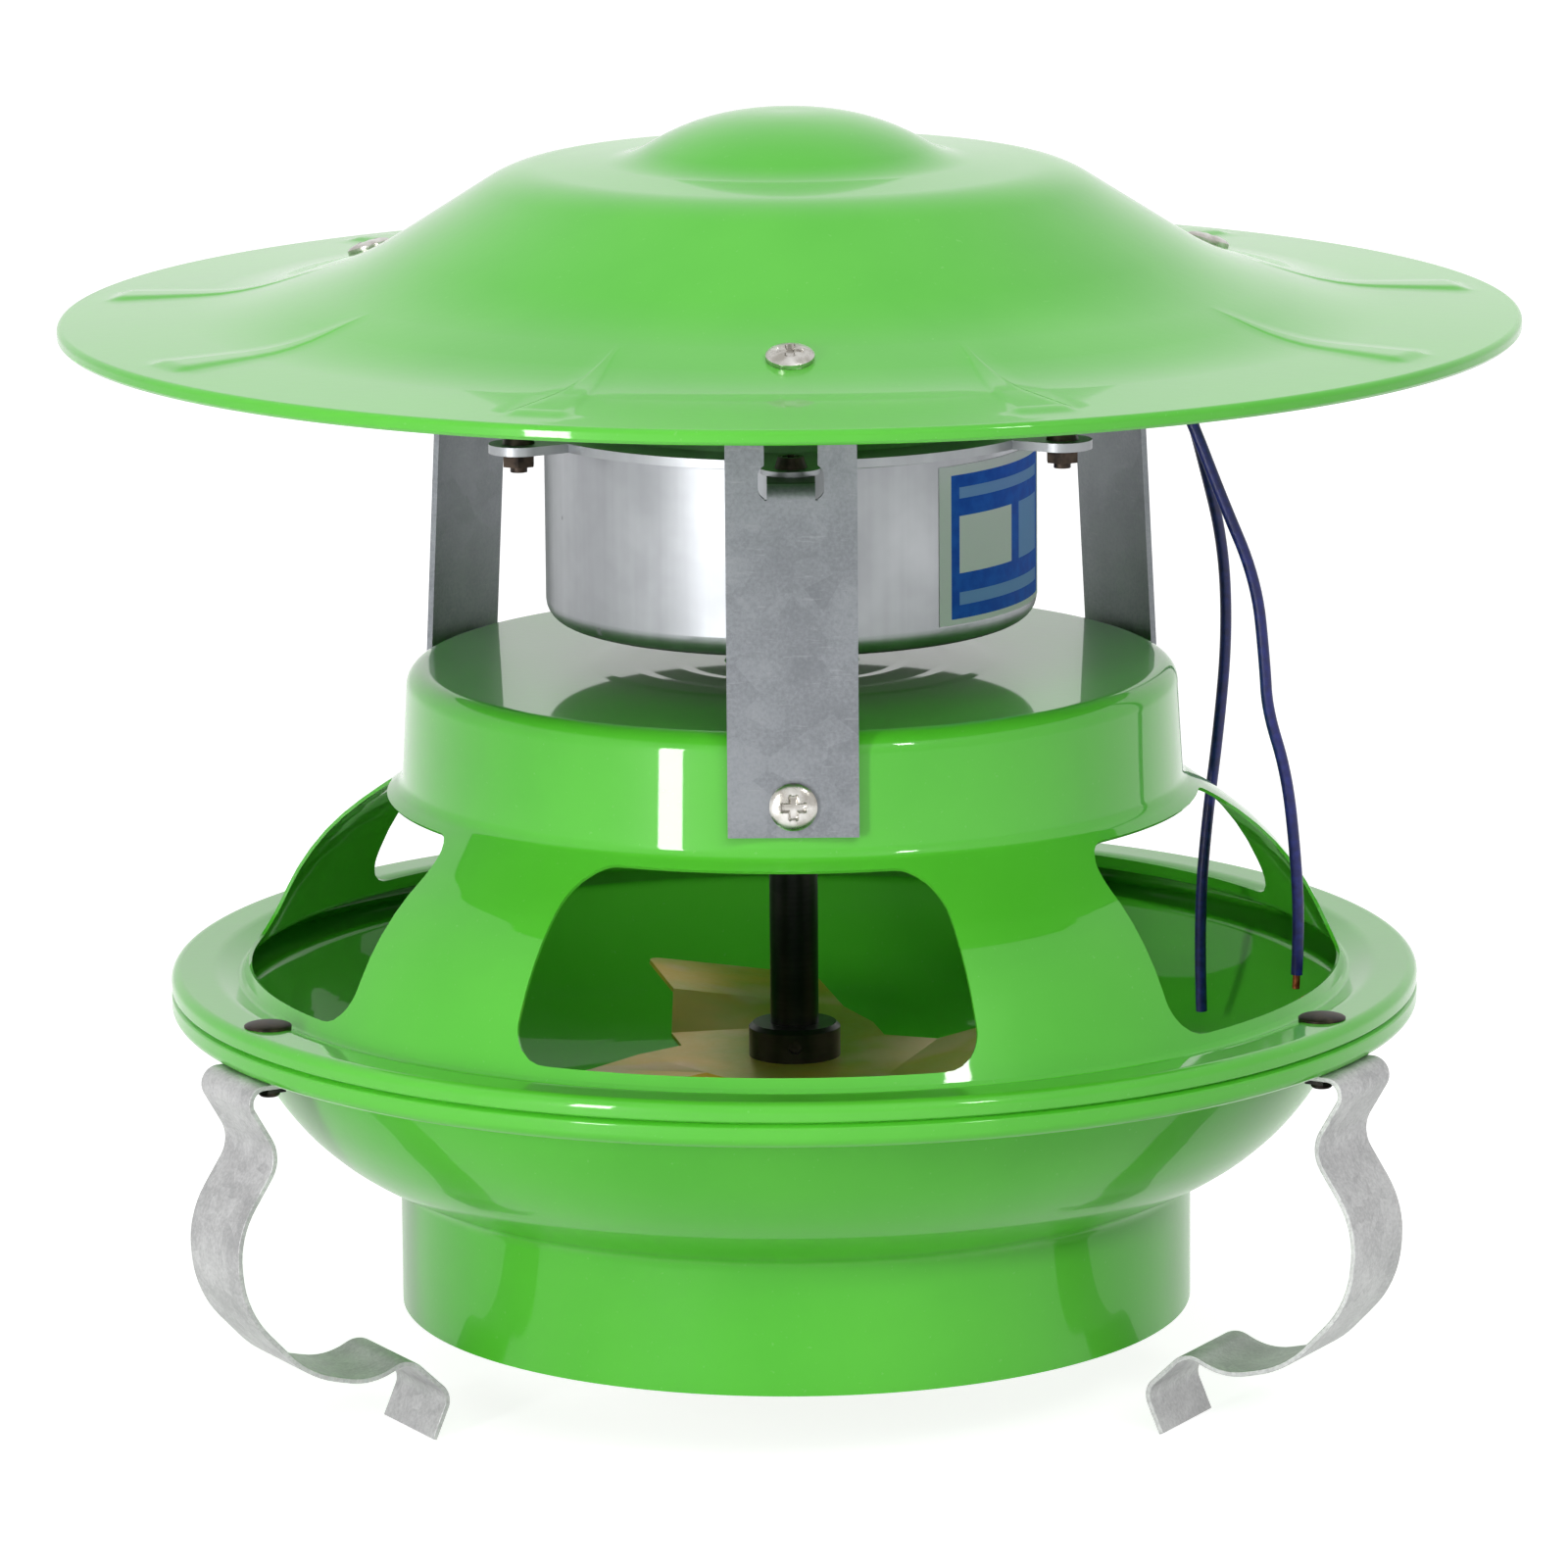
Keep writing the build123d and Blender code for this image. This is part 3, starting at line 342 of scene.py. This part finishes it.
def addStudio(s):
    half = s["floorSize"] / 2
    mesh = bpy.data.meshes.new("floor")
    corners = [(-half, -half, 0), (half, -half, 0), (half, half, 0), (-half, half, 0)]
    mesh.from_pydata(corners, [], [(0, 1, 2, 3)])
    floor = bpy.data.objects.new("floor", mesh)
    bpy.context.scene.collection.objects.link(floor)
    material, w, shader = startMaterial("paleFloor", Roughness=0.7)
    shader.inputs["Base Color"].default_value = grey(s["floorTone"])
    shader.inputs["Emission Strength"].default_value = 1.0
    glow = [grey(tone) for tone in s["floorGlow"]]
    feed(shader, "Emission Color", mix(w, seenDirectly(w), *glow))
    mesh.materials.append(material)
    world = bpy.data.worlds.new("paleWorld")
    world.use_nodes = True
    bpy.context.scene.world = world
    w = Wire(world.node_tree)
    background = world.node_tree.nodes["Background"]
    background.inputs["Color"].default_value = grey(1.0)
    feed(background, "Strength", s["worldTone"] + (1.0 - s["worldTone"]) * seenDirectly(w))
    for name, lamp in lamps.items():
        data = bpy.data.lights.new(name, "AREA")
        data.shape = "RECTANGLE"
        data.size, data.size_y = lamp["size"]
        data.energy = lamp["power"]
        light = bpy.data.objects.new(name, data)
        light.location = lamp["place"]
        sight = Vector(lamp["aim"]) - Vector(lamp["place"])
        light.rotation_euler = sight.to_track_quat("-Z", "Y").to_euler()
        light.visible_glossy = lamp.get("mirrored", True)
        bpy.context.scene.collection.objects.link(light)
    bpy.context.scene.view_settings.view_transform = "Standard"


addStudio(studio)
print("studio lit")


# surface helpers
# corner points joined by straights, each inner corner swapped for an arc tangent to both straights;
# a point held close to each end of a straight keeps its shading flat
def roundedLine(corners, radii, step=3.0, turn=6.0, hold=0.25):
    points = np.array(corners, float)
    spans = [points[:1]]
    for before, corner, after, radius in zip(points, points[1:], points[2:], radii):
        back = (before - corner) / np.linalg.norm(before - corner)
        ahead = (after - corner) / np.linalg.norm(after - corner)
        half = math.acos(np.clip(back @ ahead, -1, 1)) / 2
        inward = (back + ahead) / np.linalg.norm(back + ahead)
        centre = corner + inward * radius / math.sin(half)
        sweep = math.pi / 2 - half
        side = np.array((inward[1], -inward[0]))
        side *= math.copysign(1.0, side @ ahead)
        count = max(4, int(math.degrees(2 * sweep) / turn) + 2)
        angles = np.linspace(-sweep, sweep, count)[:, None]
        spans.append(centre + radius * (np.sin(angles) * side - np.cos(angles) * inward))
    spans.append(points[-1:])
    line = [spans[0]]
    for before, after in zip(spans, spans[1:]):
        gap = np.linalg.norm(after[0] - before[-1])
        share = np.linspace(0, 1, max(1, int(gap / step)) + 1)[1:-1]
        ends = [hold / gap, 1 - hold / gap] if gap > 4 * hold else []
        share = np.sort(np.concatenate((share, ends, [1.0])))[:, None]
        line.append(before[-1] + (after[0] - before[-1]) * share)
        line.append(after[1:])
    return np.concatenate(line)


# quads over a grid of points; the columns may close on themselves
def gridFaces(rows, columns, closed=True, first=0):
    row = np.arange(rows - 1)[:, None]
    column = np.arange(columns if closed else columns - 1)[None, :]
    nextColumn = (column + 1) % columns
    here, below = row * columns, (row + 1) * columns
    corners = (here + column, here + nextColumn, below + nextColumn, below + column)
    return np.stack(np.broadcast_arrays(*corners), -1).reshape(-1, 4) + first


# quads from side to side across a ring of points, which close it
def closingFaces(columns, first=0):
    near = np.arange(columns // 2 - 1)
    return np.stack((near, near + 1, columns - 2 - near, columns - 1 - near), -1) + first


# points within a hair, in mm, become one
def merged(points, faces, hair=0.002):
    keys = np.round(points / hair).astype(np.int64)
    first, back = np.unique(keys, axis=0, return_index=True, return_inverse=True)[1:]
    return points[first], back.reshape(-1)[faces]


def addPiece(name, points, faces, material, body, replaced=(), sharp=35.0):
    mesh = bpy.data.meshes.new(name)
    mesh.vertices.add(len(points))
    mesh.vertices.foreach_set("co", np.ascontiguousarray(points * mm, np.float32).ravel())
    mesh.loops.add(faces.size)
    mesh.loops.foreach_set("vertex_index", np.ascontiguousarray(faces, np.int32).ravel())
    mesh.polygons.add(len(faces))
    mesh.polygons.foreach_set("loop_start", np.arange(0, faces.size, faces.shape[1], dtype=np.int32))
    mesh.update(calc_edges=True)
    mesh.validate()
    mesh.materials.append(material)
    mesh.shade_smooth()
    mesh.set_sharp_from_angle(angle=math.radians(sharp))
    piece = bpy.data.objects.new(name, mesh)
    bpy.context.scene.collection.objects.link(piece)
    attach(piece, body)
    if replaced:
        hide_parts(*replaced)
    return piece


# a wall laid inwards from the surface, with its cut edges rounded
def thicken(piece, wall, edge, sharpest=50.0):
    solid = piece.modifiers.new("wall", "SOLIDIFY")
    solid.thickness = wall * mm
    solid.offset = -1.0
    bevel = piece.modifiers.new("edge", "BEVEL")
    bevel.width = edge * mm
    bevel.segments = 2
    bevel.limit_method = "ANGLE"
    bevel.angle_limit = math.radians(sharpest)
    bevel.harden_normals = True


# azimuth 0 is the front; the point at a radius, azimuth and height
def around(radius, azimuth, height):
    turn = np.radians(azimuth)
    return np.stack(np.broadcast_arrays(radius * np.sin(turn), -radius * np.cos(turn), height), -1)


# a section turned about the axis
def spun(section, columns):
    azimuth = np.arange(columns) * 360.0 / columns
    points = around(section[:, None, 0], azimuth[None, :], section[:, None, 1])
    return points.reshape(-1, 3), gridFaces(len(section), columns)


# lower bowl: neck, bowed wall and upturned lip, with its edge curled in at the seam
bowl = {"neckRadius": 95.0, "neckBottom": 19.0, "neckTop": 51.0, "mouth": 133.0, "rim": 149.0,
        "rimLow": 91.3, "seam": 96.9, "bulge": 7.4, "wall": 0.8, "columns": 240, "curl": (1.4, 0.7),
        "steps": 7, "neckBend": 4.0, "bowBend": 45.0, "rimBends": (1.5, 2.4, 0.6), "edge": 0.2}


# the bowed wall is an arc over the chord from the neck to the mouth, as high as the bulge
def bowlSection(s):
    start = np.array((s["neckRadius"], s["neckTop"]))
    end = np.array((s["mouth"], s["rimLow"]))
    chord = end - start
    length = np.linalg.norm(chord)
    radius = (length ** 2 / 4 + s["bulge"] ** 2) / (2 * s["bulge"])
    side = np.array((chord[1], -chord[0])) / length
    centre = (start + end) / 2 - side * (radius - s["bulge"])
    half = math.asin(length / 2 / radius)
    angles = np.linspace(-half, half, s["steps"])[:, None]
    arc = centre + radius * (np.cos(angles) * side + np.sin(angles) * chord / length)
    inward, down = s["curl"]
    rim = [(s["rim"], s["rimLow"]), (s["rim"], s["seam"] - down), (s["rim"] - inward, s["seam"])]
    radii = [s["neckBend"]] + [s["bowBend"]] * (s["steps"] - 2) + list(s["rimBends"])
    return roundedLine([(s["neckRadius"], s["neckBottom"]), *arc, *rim], radii)


def addBowl(s):
    points, faces = spun(bowlSection(s), s["columns"])
    piece = addPiece("bowlShell", points, faces, finish["paint"], "housing", ["lower_bowl"])
    thicken(piece, s["wall"], s["edge"])


addBowl(bowl)
print("bowl spun")


# upper cover: its section from the shaft hole to the skirt, turned about the axis; the band with the
# windows is one sector five times, rings of quads from the window's edge out to the sector's edge, each
# point at the section's radius for its height
cover = {"corners": [(16.0, 173.9), (25.0, 173.9), (28.0, 174.0), (36.0, 174.0), (39.0, 174.08),
                     (46.0, 174.08), (49.0, 174.0), (91.6, 174.0), (93.2, 146.0), (119.0, 127.3),
                     (131.6, 101.0), (132.6, 99.7), (138.5, 101.7), (149.0, 101.9), (149.0, 97.6),
                     (147.6, 96.9)],
         "radii": [20.0, 20.0, 20.0, 20.0, 20.0, 20.0, 5.0, 4.0, 60.0, 0.6, 1.0, 7.0, 2.4, 0.6],
         "sector": 72.0, "phase": -5.4, "half": 24.4, "sill": 103.3, "head": 143.4, "round": 9.0,
         "bandTop": 145.2, "bandFoot": 101.6, "bandRadii": (90.0, 131.6), "collarTop": 160.0,
         "across": 48, "upright": 36, "rings": 16, "crowd": 1.25, "step": 5.0, "wall": 0.8, "edge": 0.2}


def windowSector(s, radiusAt):
    # edge of the window: half its angle at a height, less the rounding of its corners
    def halfAngle(height):
        near = np.minimum(height - s["sill"], s["head"] - height)
        lack = np.clip(s["round"] - near, 0, s["round"])
        inset = s["round"] - np.sqrt(np.maximum(s["round"] ** 2 - lack ** 2, 0))
        return s["half"] - np.degrees(inset / radiusAt(height))

    cut = s["round"] * (1 - math.sqrt(0.5))
    topTurn = halfAngle(np.array([s["head"] - cut]))[0]
    lowTurn = halfAngle(np.array([s["sill"] + cut]))[0]

    # a level side follows the corner arc down at both ends
    def levelSide(turns, top):
        radius = radiusAt(np.array([s["head"] if top else s["sill"]]))[0]
        flat = s["half"] - math.degrees(s["round"] / radius)
        lack = np.clip((np.abs(turns) - flat) / (s["half"] - flat), 0, 1)
        drop = s["round"] * (1 - np.sqrt(np.maximum(1 - lack ** 2, 0)))
        return (s["head"] - drop) if top else (s["sill"] + drop)

    share = np.linspace(-1, 1, s["across"] + 1)
    rise = np.linspace(0, 1, s["upright"] + 1)
    topTurns = share * topTurn
    lowTurns = share[::-1] * lowTurn
    rightHeights = s["head"] - cut + (s["sill"] - s["head"] + 2 * cut) * rise
    leftHeights = rightHeights[::-1]
    inner = np.concatenate([
        np.column_stack((topTurns, levelSide(topTurns, True)))[:-1],
        np.column_stack((halfAngle(rightHeights), rightHeights))[:-1],
        np.column_stack((lowTurns, levelSide(lowTurns, False)))[:-1],
        np.column_stack((-halfAngle(leftHeights), leftHeights))[:-1]])
    edge = s["sector"] / 2
    sideHeights = s["bandTop"] + (s["bandFoot"] - s["bandTop"]) * rise
    outer = np.concatenate([
        np.column_stack((share * edge, np.full_like(share, s["bandTop"])))[:-1],
        np.column_stack((np.full_like(rise, edge), sideHeights))[:-1],
        np.column_stack((share[::-1] * edge, np.full_like(share, s["bandFoot"])))[:-1],
        np.column_stack((np.full_like(rise, -edge), sideHeights[::-1]))[:-1]])
    level = (np.linspace(0, 1, s["rings"]) ** s["crowd"])[:, None, None]
    return inner + (outer - inner) * level


def addCover(s):
    section = roundedLine(s["corners"], s["radii"], s["step"])
    inner, outer = s["bandRadii"]
    radius, height = section.T
    band = section[(radius > inner) & (radius < outer) & (height < s["collarTop"])]
    bandLine = band[np.argsort(band[:, 1])]

    def radiusAt(height):
        return np.interp(height, bandLine[:, 1], bandLine[:, 0])

    sector = windowSector(s, radiusAt)
    columns = sector.shape[1]
    count = int(360 / s["sector"])
    centres = s["phase"] + np.arange(count) * s["sector"]
    turns = sector[None, :, :, 0] + centres[:, None, None]
    heights = np.broadcast_to(sector[None, :, :, 1], turns.shape)
    bandPoints = around(radiusAt(heights), turns, heights).reshape(-1, 3)
    ring = gridFaces(s["rings"], columns)
    bandFaces = (ring[None] + (np.arange(count) * s["rings"] * columns)[:, None, None]).reshape(-1, 4)
    azimuth = s["phase"] - s["sector"] / 2 + np.arange(count * s["across"]) * s["sector"] / s["across"]
    top = np.flatnonzero((radius > inner) & (height < s["bandTop"]))[0]
    foot = np.flatnonzero((radius > inner) & (height < s["bandFoot"]))[0]
    upper = np.vstack((section[:top], (radiusAt(s["bandTop"]), s["bandTop"])))
    lower = np.vstack(((radiusAt(s["bandFoot"]), s["bandFoot"]), section[foot:]))
    points = [bandPoints]
    faces = [bandFaces]
    total = len(bandPoints)
    for line in (upper, lower):
        points.append(around(line[:, None, 0], azimuth[None, :], line[:, None, 1]).reshape(-1, 3))
        faces.append(gridFaces(len(line), len(azimuth), True, total)[:, ::-1])
        total += points[-1].shape[0]
    points, faces = merged(np.concatenate(points), np.concatenate(faces))
    piece = addPiece("coverShell", points, faces, finish["paint"], "housing", ["upper_cover"])
    thicken(piece, s["wall"], s["edge"])


addCover(cover)
print("cover pressed")


# rain cap: its section spun, plus nine soft wedges; the columns follow the wedges' edges
cap = {"corners": [(0.0, 305.5), (19.5, 305.5), (38.5, 294.2), (66.0, 292.5), (102.73, 269.24),
                   (132.22, 259.66), (172.5, 257.7), (172.5, 255.0), (171.8, 254.3)],
       "radii": [55.0, 20.0, 26.0, 70.0, 75.0, 1.4, 0.6], "step": 2.5, "turn": 4.0, "wall": 0.8, "edge": 0.2,
       "pole": 3.0, "brimLow": 257.0, "lipTop": 257.69,
       "ribs": 9, "phase": 20.0, "tip": 112.0, "end": 160.5, "width": 13.0, "lift": 0.9, "fade": 5.0,
       "rows": (-1.6, -0.8, 0.0, 1.0, 2.0, 3.0, 4.0, 5.0), "clear": (2.0, 5.6),
       "shares": (0.4, 0.75, 0.9, 1.0, 1.1, 1.3), "flank": 0.6, "between": 19,
       "narrowest": 0.12, "innermost": 40.0}


# the section with extra rows where the wedges end: the brim outwards, then the lip downwards
def capSection(s):
    section = roundedLine(s["corners"], s["radii"], s["step"], s["turn"])
    near = section[np.argmin(np.abs(section[:, 0] - s["end"]))][0]
    extra = np.array(s["rows"]) + s["end"]
    brim = section[section[:, 1] > s["brimLow"]]
    height = np.interp(extra, brim[:, 0], brim[:, 1])
    clear = (section[:, 0] < near - s["clear"][0]) | (section[:, 0] > near + s["clear"][1])
    section = np.vstack((section[clear], np.column_stack((extra, height))))
    lip = section[:, 1] <= s["lipTop"]
    section = section[np.lexsort((np.where(lip, -section[:, 1], section[:, 0]), lip))]
    return np.vstack(((s["pole"], s["corners"][0][1]), section[section[:, 0] > s["pole"]]))


# eases a share from 0 to 1 at both ends
def smooth(share):
    return share * share * (3 - 2 * share)


def addCap(s):
    section = capSection(s)
    radius, height = section.T
    along = (radius - s["tip"]) / (s["end"] - s["tip"])
    # columns: fine across a wedge, then even to the next
    half = s["width"] / 2 * np.clip(along, s["narrowest"], 1.0)
    halfTurn = np.degrees(half / np.maximum(radius, s["innermost"]))
    across = np.concatenate((-np.array(s["shares"])[::-1], [0.0], s["shares"]))
    gap = np.linspace(0, 1, s["between"] + 2)[1:-1]
    pitch = 360.0 / s["ribs"]
    wedge = halfTurn[:, None] * across[None, :]
    between = wedge[:, -1:] + (pitch - 2 * wedge[:, -1:]) * gap[None, :]
    period = np.concatenate((wedge, between), axis=1)
    centres = s["phase"] + np.arange(s["ribs"]) * pitch
    turns = (period[:, None, :] + centres[None, :, None]).reshape(len(section), -1)
    # height of a wedge: grows along it, ends in a step, and falls off smoothly at its sides
    step = smooth(np.clip((s["end"] + s["fade"] - radius) / s["fade"], 0, 1))
    slope = smooth(np.clip((s["shares"][-1] - np.abs(across)) / s["flank"], 0, 1))
    side = np.concatenate((slope, np.zeros(len(gap))))
    rise = np.where(height > s["lipTop"], s["lift"] * np.clip(along, 0, 1) * step, 0.0)
    lift = rise[:, None] * np.tile(side, s["ribs"])[None, :]
    points = around(radius[:, None], turns, height[:, None] + lift).reshape(-1, 3)
    faces = gridFaces(len(section), turns.shape[1])[:, ::-1]
    faces = np.concatenate((closingFaces(turns.shape[1]), faces))
    piece = addPiece("capShell", points, faces, finish["paint"], "housing", ["rain_cap"])
    thicken(piece, s["wall"], s["edge"])


addCap(cap)
print("cap pressed")


# spring clips: the strip's route in radius and height, carried across its width
clip = {"route": [(133.5, 90.1), (153.5, 90.1), (143.8, 73.5), (155.5, 56.0), (154.0, 38.0), (138.0, 21.0),
                  (122.0, 17.0), (112.0, 21.5), (100.5, 10.5), (105.2, 0.0)],
        "bends": [3.0, 9.0, 22.0, 25.0, 25.0, 16.0, 6.0, 5.0], "step": 2.0, "turn": 5.0,
        "width": 25.0, "columns": 9, "wall": 1.2, "edge": 0.2,
        "azimuths": {"right": 60.0, "rear": 180.0, "left": -60.0}}


def addClip(s, side, azimuth):
    route = roundedLine(s["route"], s["bends"], s["step"], s["turn"])
    across = np.linspace(-0.5, 0.5, s["columns"]) * s["width"]
    turn = math.radians(azimuth)
    outward = np.array((math.sin(turn), -math.cos(turn)))
    sideways = np.array((math.cos(turn), math.sin(turn)))
    flat = route[:, None, :1] * outward + across[None, :, None] * sideways
    height = np.broadcast_to(route[:, None, 1:], flat.shape[:2] + (1,))
    points = np.concatenate((flat, height), -1).reshape(-1, 3)
    faces = gridFaces(len(route), len(across), False)
    piece = addPiece(side + "ClipStrip", points, faces, finish["clip"], "housing",
                     ["spring_clip_" + side])
    thicken(piece, s["wall"], s["edge"])


for side, azimuth in clip["azimuths"].items():
    addClip(clip, side, azimuth)
print("clips bent")


# screws: domed heads with a cross sunk in them and their shanks, each turned about its own axis;
# the lean is the axis's angle above level, and the foot is how far a head sinks into a sloping seat
screws = {
    "cap": {"node": "cap_screws", "finish": "zinc", "azimuths": (0, 120, -120), "seat": (117.0, 264.6),
            "lean": 72.0, "head": 2.6, "shank": 7.26, "sink": 1.4, "foot": 0.0},
    "strap": {"node": "strap_screws", "finish": "zinc", "azimuths": (0, 120, -120), "seat": (94.02, 157.99),
              "lean": 3.27, "head": 2.6, "shank": 7.04, "sink": 1.4, "foot": 0.0},
    "clip": {"node": "clip_bolts", "finish": "darkBolt", "azimuths": (60, 180, -60), "seat": (141.0, 101.565),
             "lean": 90.0, "head": 1.6, "shank": 16.07, "sink": 0.0, "foot": 0.9},
}
screwShape = {"radius": 5.5, "shankRadius": 2.5, "reach": 2.9, "half": 0.75, "soft": 0.35, "columns": 72,
              "rows": 20, "pole": 0.1, "low": 0.3, "full": 0.96, "rim": 0.3, "inset": 0.1, "chamfer": 0.4,
              "twist": 0.4, "sharp": 40.0}


def addScrews(name, s, shape):
    # dome: part of an ellipse over the share of the radius, on a low rim
    share = np.linspace(0.0, 1.0, shape["rows"])
    bow = shape["low"] + (1 - shape["low"]) * np.sqrt(1 - share ** 2 * shape["full"])
    dome = np.column_stack((shape["radius"] * share, s["head"] * bow))
    dome[0, 0] = shape["pole"]
    wide, slim, chamfer = shape["radius"], shape["shankRadius"], shape["chamfer"]
    rest = np.array([(wide, shape["rim"]), (wide - shape["inset"], -s["foot"]), (slim, -s["foot"]),
                     (slim, chamfer - s["shank"]), (slim - chamfer, -s["shank"]),
                     (shape["pole"], -s["shank"])])
    section = np.concatenate((dome, rest))
    angle = np.arange(shape["columns"]) * 2 * math.pi / shape["columns"] + shape["twist"]
    across = section[:, None, 0] * np.cos(angle)
    up = section[:, None, 0] * np.sin(angle)

    # depth of the cross: two bars with soft sides
    def bar(along, aside):
        long = np.clip((shape["reach"] - np.abs(along)) / shape["soft"], 0, 1)
        return long * np.clip((shape["half"] - np.abs(aside)) / shape["soft"] + 1, 0, 1)

    cross = np.maximum(bar(across, up), bar(up, across))
    isDome = (np.arange(len(section)) < len(dome))[:, None]
    rise = np.where(isDome, section[:, None, 1] - s["sink"] * cross, section[:, None, 1])
    lean = math.radians(s["lean"])
    points, faces = [], []
    for azimuth in s["azimuths"]:
        turn = math.radians(azimuth)
        outward = np.array((math.sin(turn), -math.cos(turn), 0.0))
        axis = outward * math.cos(lean) + np.array((0, 0, math.sin(lean)))
        aside = np.array((math.cos(turn), math.sin(turn), 0.0))
        third = np.cross(axis, aside)
        seat = outward * s["seat"][0] + np.array((0, 0, s["seat"][1]))
        grid = seat + across[..., None] * aside + up[..., None] * third + rise[..., None] * axis
        first = len(points) * grid[..., 0].size
        faces.append(gridFaces(len(section), shape["columns"], True, first)[:, ::-1])
        faces.append(closingFaces(shape["columns"], first))
        last = first + grid[..., 0].size - shape["columns"]
        faces.append(closingFaces(shape["columns"], last)[:, ::-1])
        points.append(grid.reshape(-1, 3))
    addPiece(name + "ScrewHeads", np.concatenate(points), np.concatenate(faces), finish[s["finish"]],
             "housing", [s["node"]], shape["sharp"])


for name, settings in screws.items():
    addScrews(name, settings, screwShape)
print("screws turned")


# leads: a round cord along the smooth curve that its route's points pull
lead = {
    "radius": 1.4, "sides": 5, "steps": 8, "order": 3, "lengths": {"inner": 263.6, "outer": 233.1},
    "routes": {
        "inner": [(36.0, 0.0, 242.5), (36.0, 0.0, 257.0), (46.0, 4.0, 268.0), (64.0, 10.0, 267.0),
                  (83.0, 19.0, 255.0), (94.0, 33.0, 236.0), (100.0, 46.0, 214.0), (105.4, 52.0, 192.0),
                  (106.4, 53.0, 169.0), (104.4, 52.0, 146.0), (101.4, 52.0, 122.0), (99.6, 51.2, 98.0),
                  (100.3, 52.0, 75.0)],
        "outer": [(36.0, -5.0, 242.5), (36.0, -5.0, 258.0), (46.0, -8.0, 270.0), (64.0, -11.0, 270.0),
                  (82.0, -14.0, 258.0), (93.0, -17.0, 237.0), (101.0, -20.0, 216.0), (109.4, -21.0, 196.0),
                  (111.4, -21.4, 176.0), (112.0, -21.0, 165.0), (116.6, -21.0, 150.0), (118.8, -20.6, 131.0),
                  (119.8, -21.0, 113.0), (119.2, -21.4, 101.0)],
    },
}


def addLead(s, name, route):
    curve = bpy.data.curves.new(name + "LeadCord", "CURVE")
    curve.dimensions = "3D"
    curve.bevel_depth = s["radius"] * mm
    curve.bevel_resolution = s["sides"]
    curve.resolution_u = s["steps"]
    curve.use_fill_caps = True
    spline = curve.splines.new("NURBS")
    spline.points.add(len(route) - 1)
    points = np.column_stack((np.array(route) * mm, np.ones(len(route))))
    spline.points.foreach_set("co", points.ravel())
    spline.order_u = s["order"]
    spline.use_endpoint_u = True
    curve.materials.append(finish["lead"])
    piece = bpy.data.objects.new(name + "LeadCord", curve)
    bpy.context.scene.collection.objects.link(piece)
    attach(piece, "housing")
    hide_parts(name + "_lead")


for name, route in lead["routes"].items():
    addLead(lead, name, route)
print("leads hung")


# finishes of the pieces that keep their solids
dressed = {
    "strap": ["support_strap_front", "support_strap_right", "support_strap_left"],
    "zinc": ["cap_nuts", "strap_nuts", "impeller_washer", "impeller_nut"],
    "darkBolt": ["can_bolts", "can_nuts", "tongue_bolts", "tongue_nuts"],
    "nut": ["clip_nuts", "hub_set_screw"],
    "can": ["motor_can", "motor_end_cover"],
    "bronze": ["lower_bush", "upper_bush"],
    "core": ["stator_core", "rotor_core", "stop_rings"],
    "copper": ["stator_coils", "lead_tip"],
    "black": ["shaft", "impeller_hub"],
    "gold": ["impeller"],
    "rubber": ["lead_grommet"],
    "sticker": ["motor_label"],
}
for key, names in dressed.items():
    for name in names:
        nodes[name].data.materials.clear()
        nodes[name].data.materials.append(finish[key])
print("solids dressed")
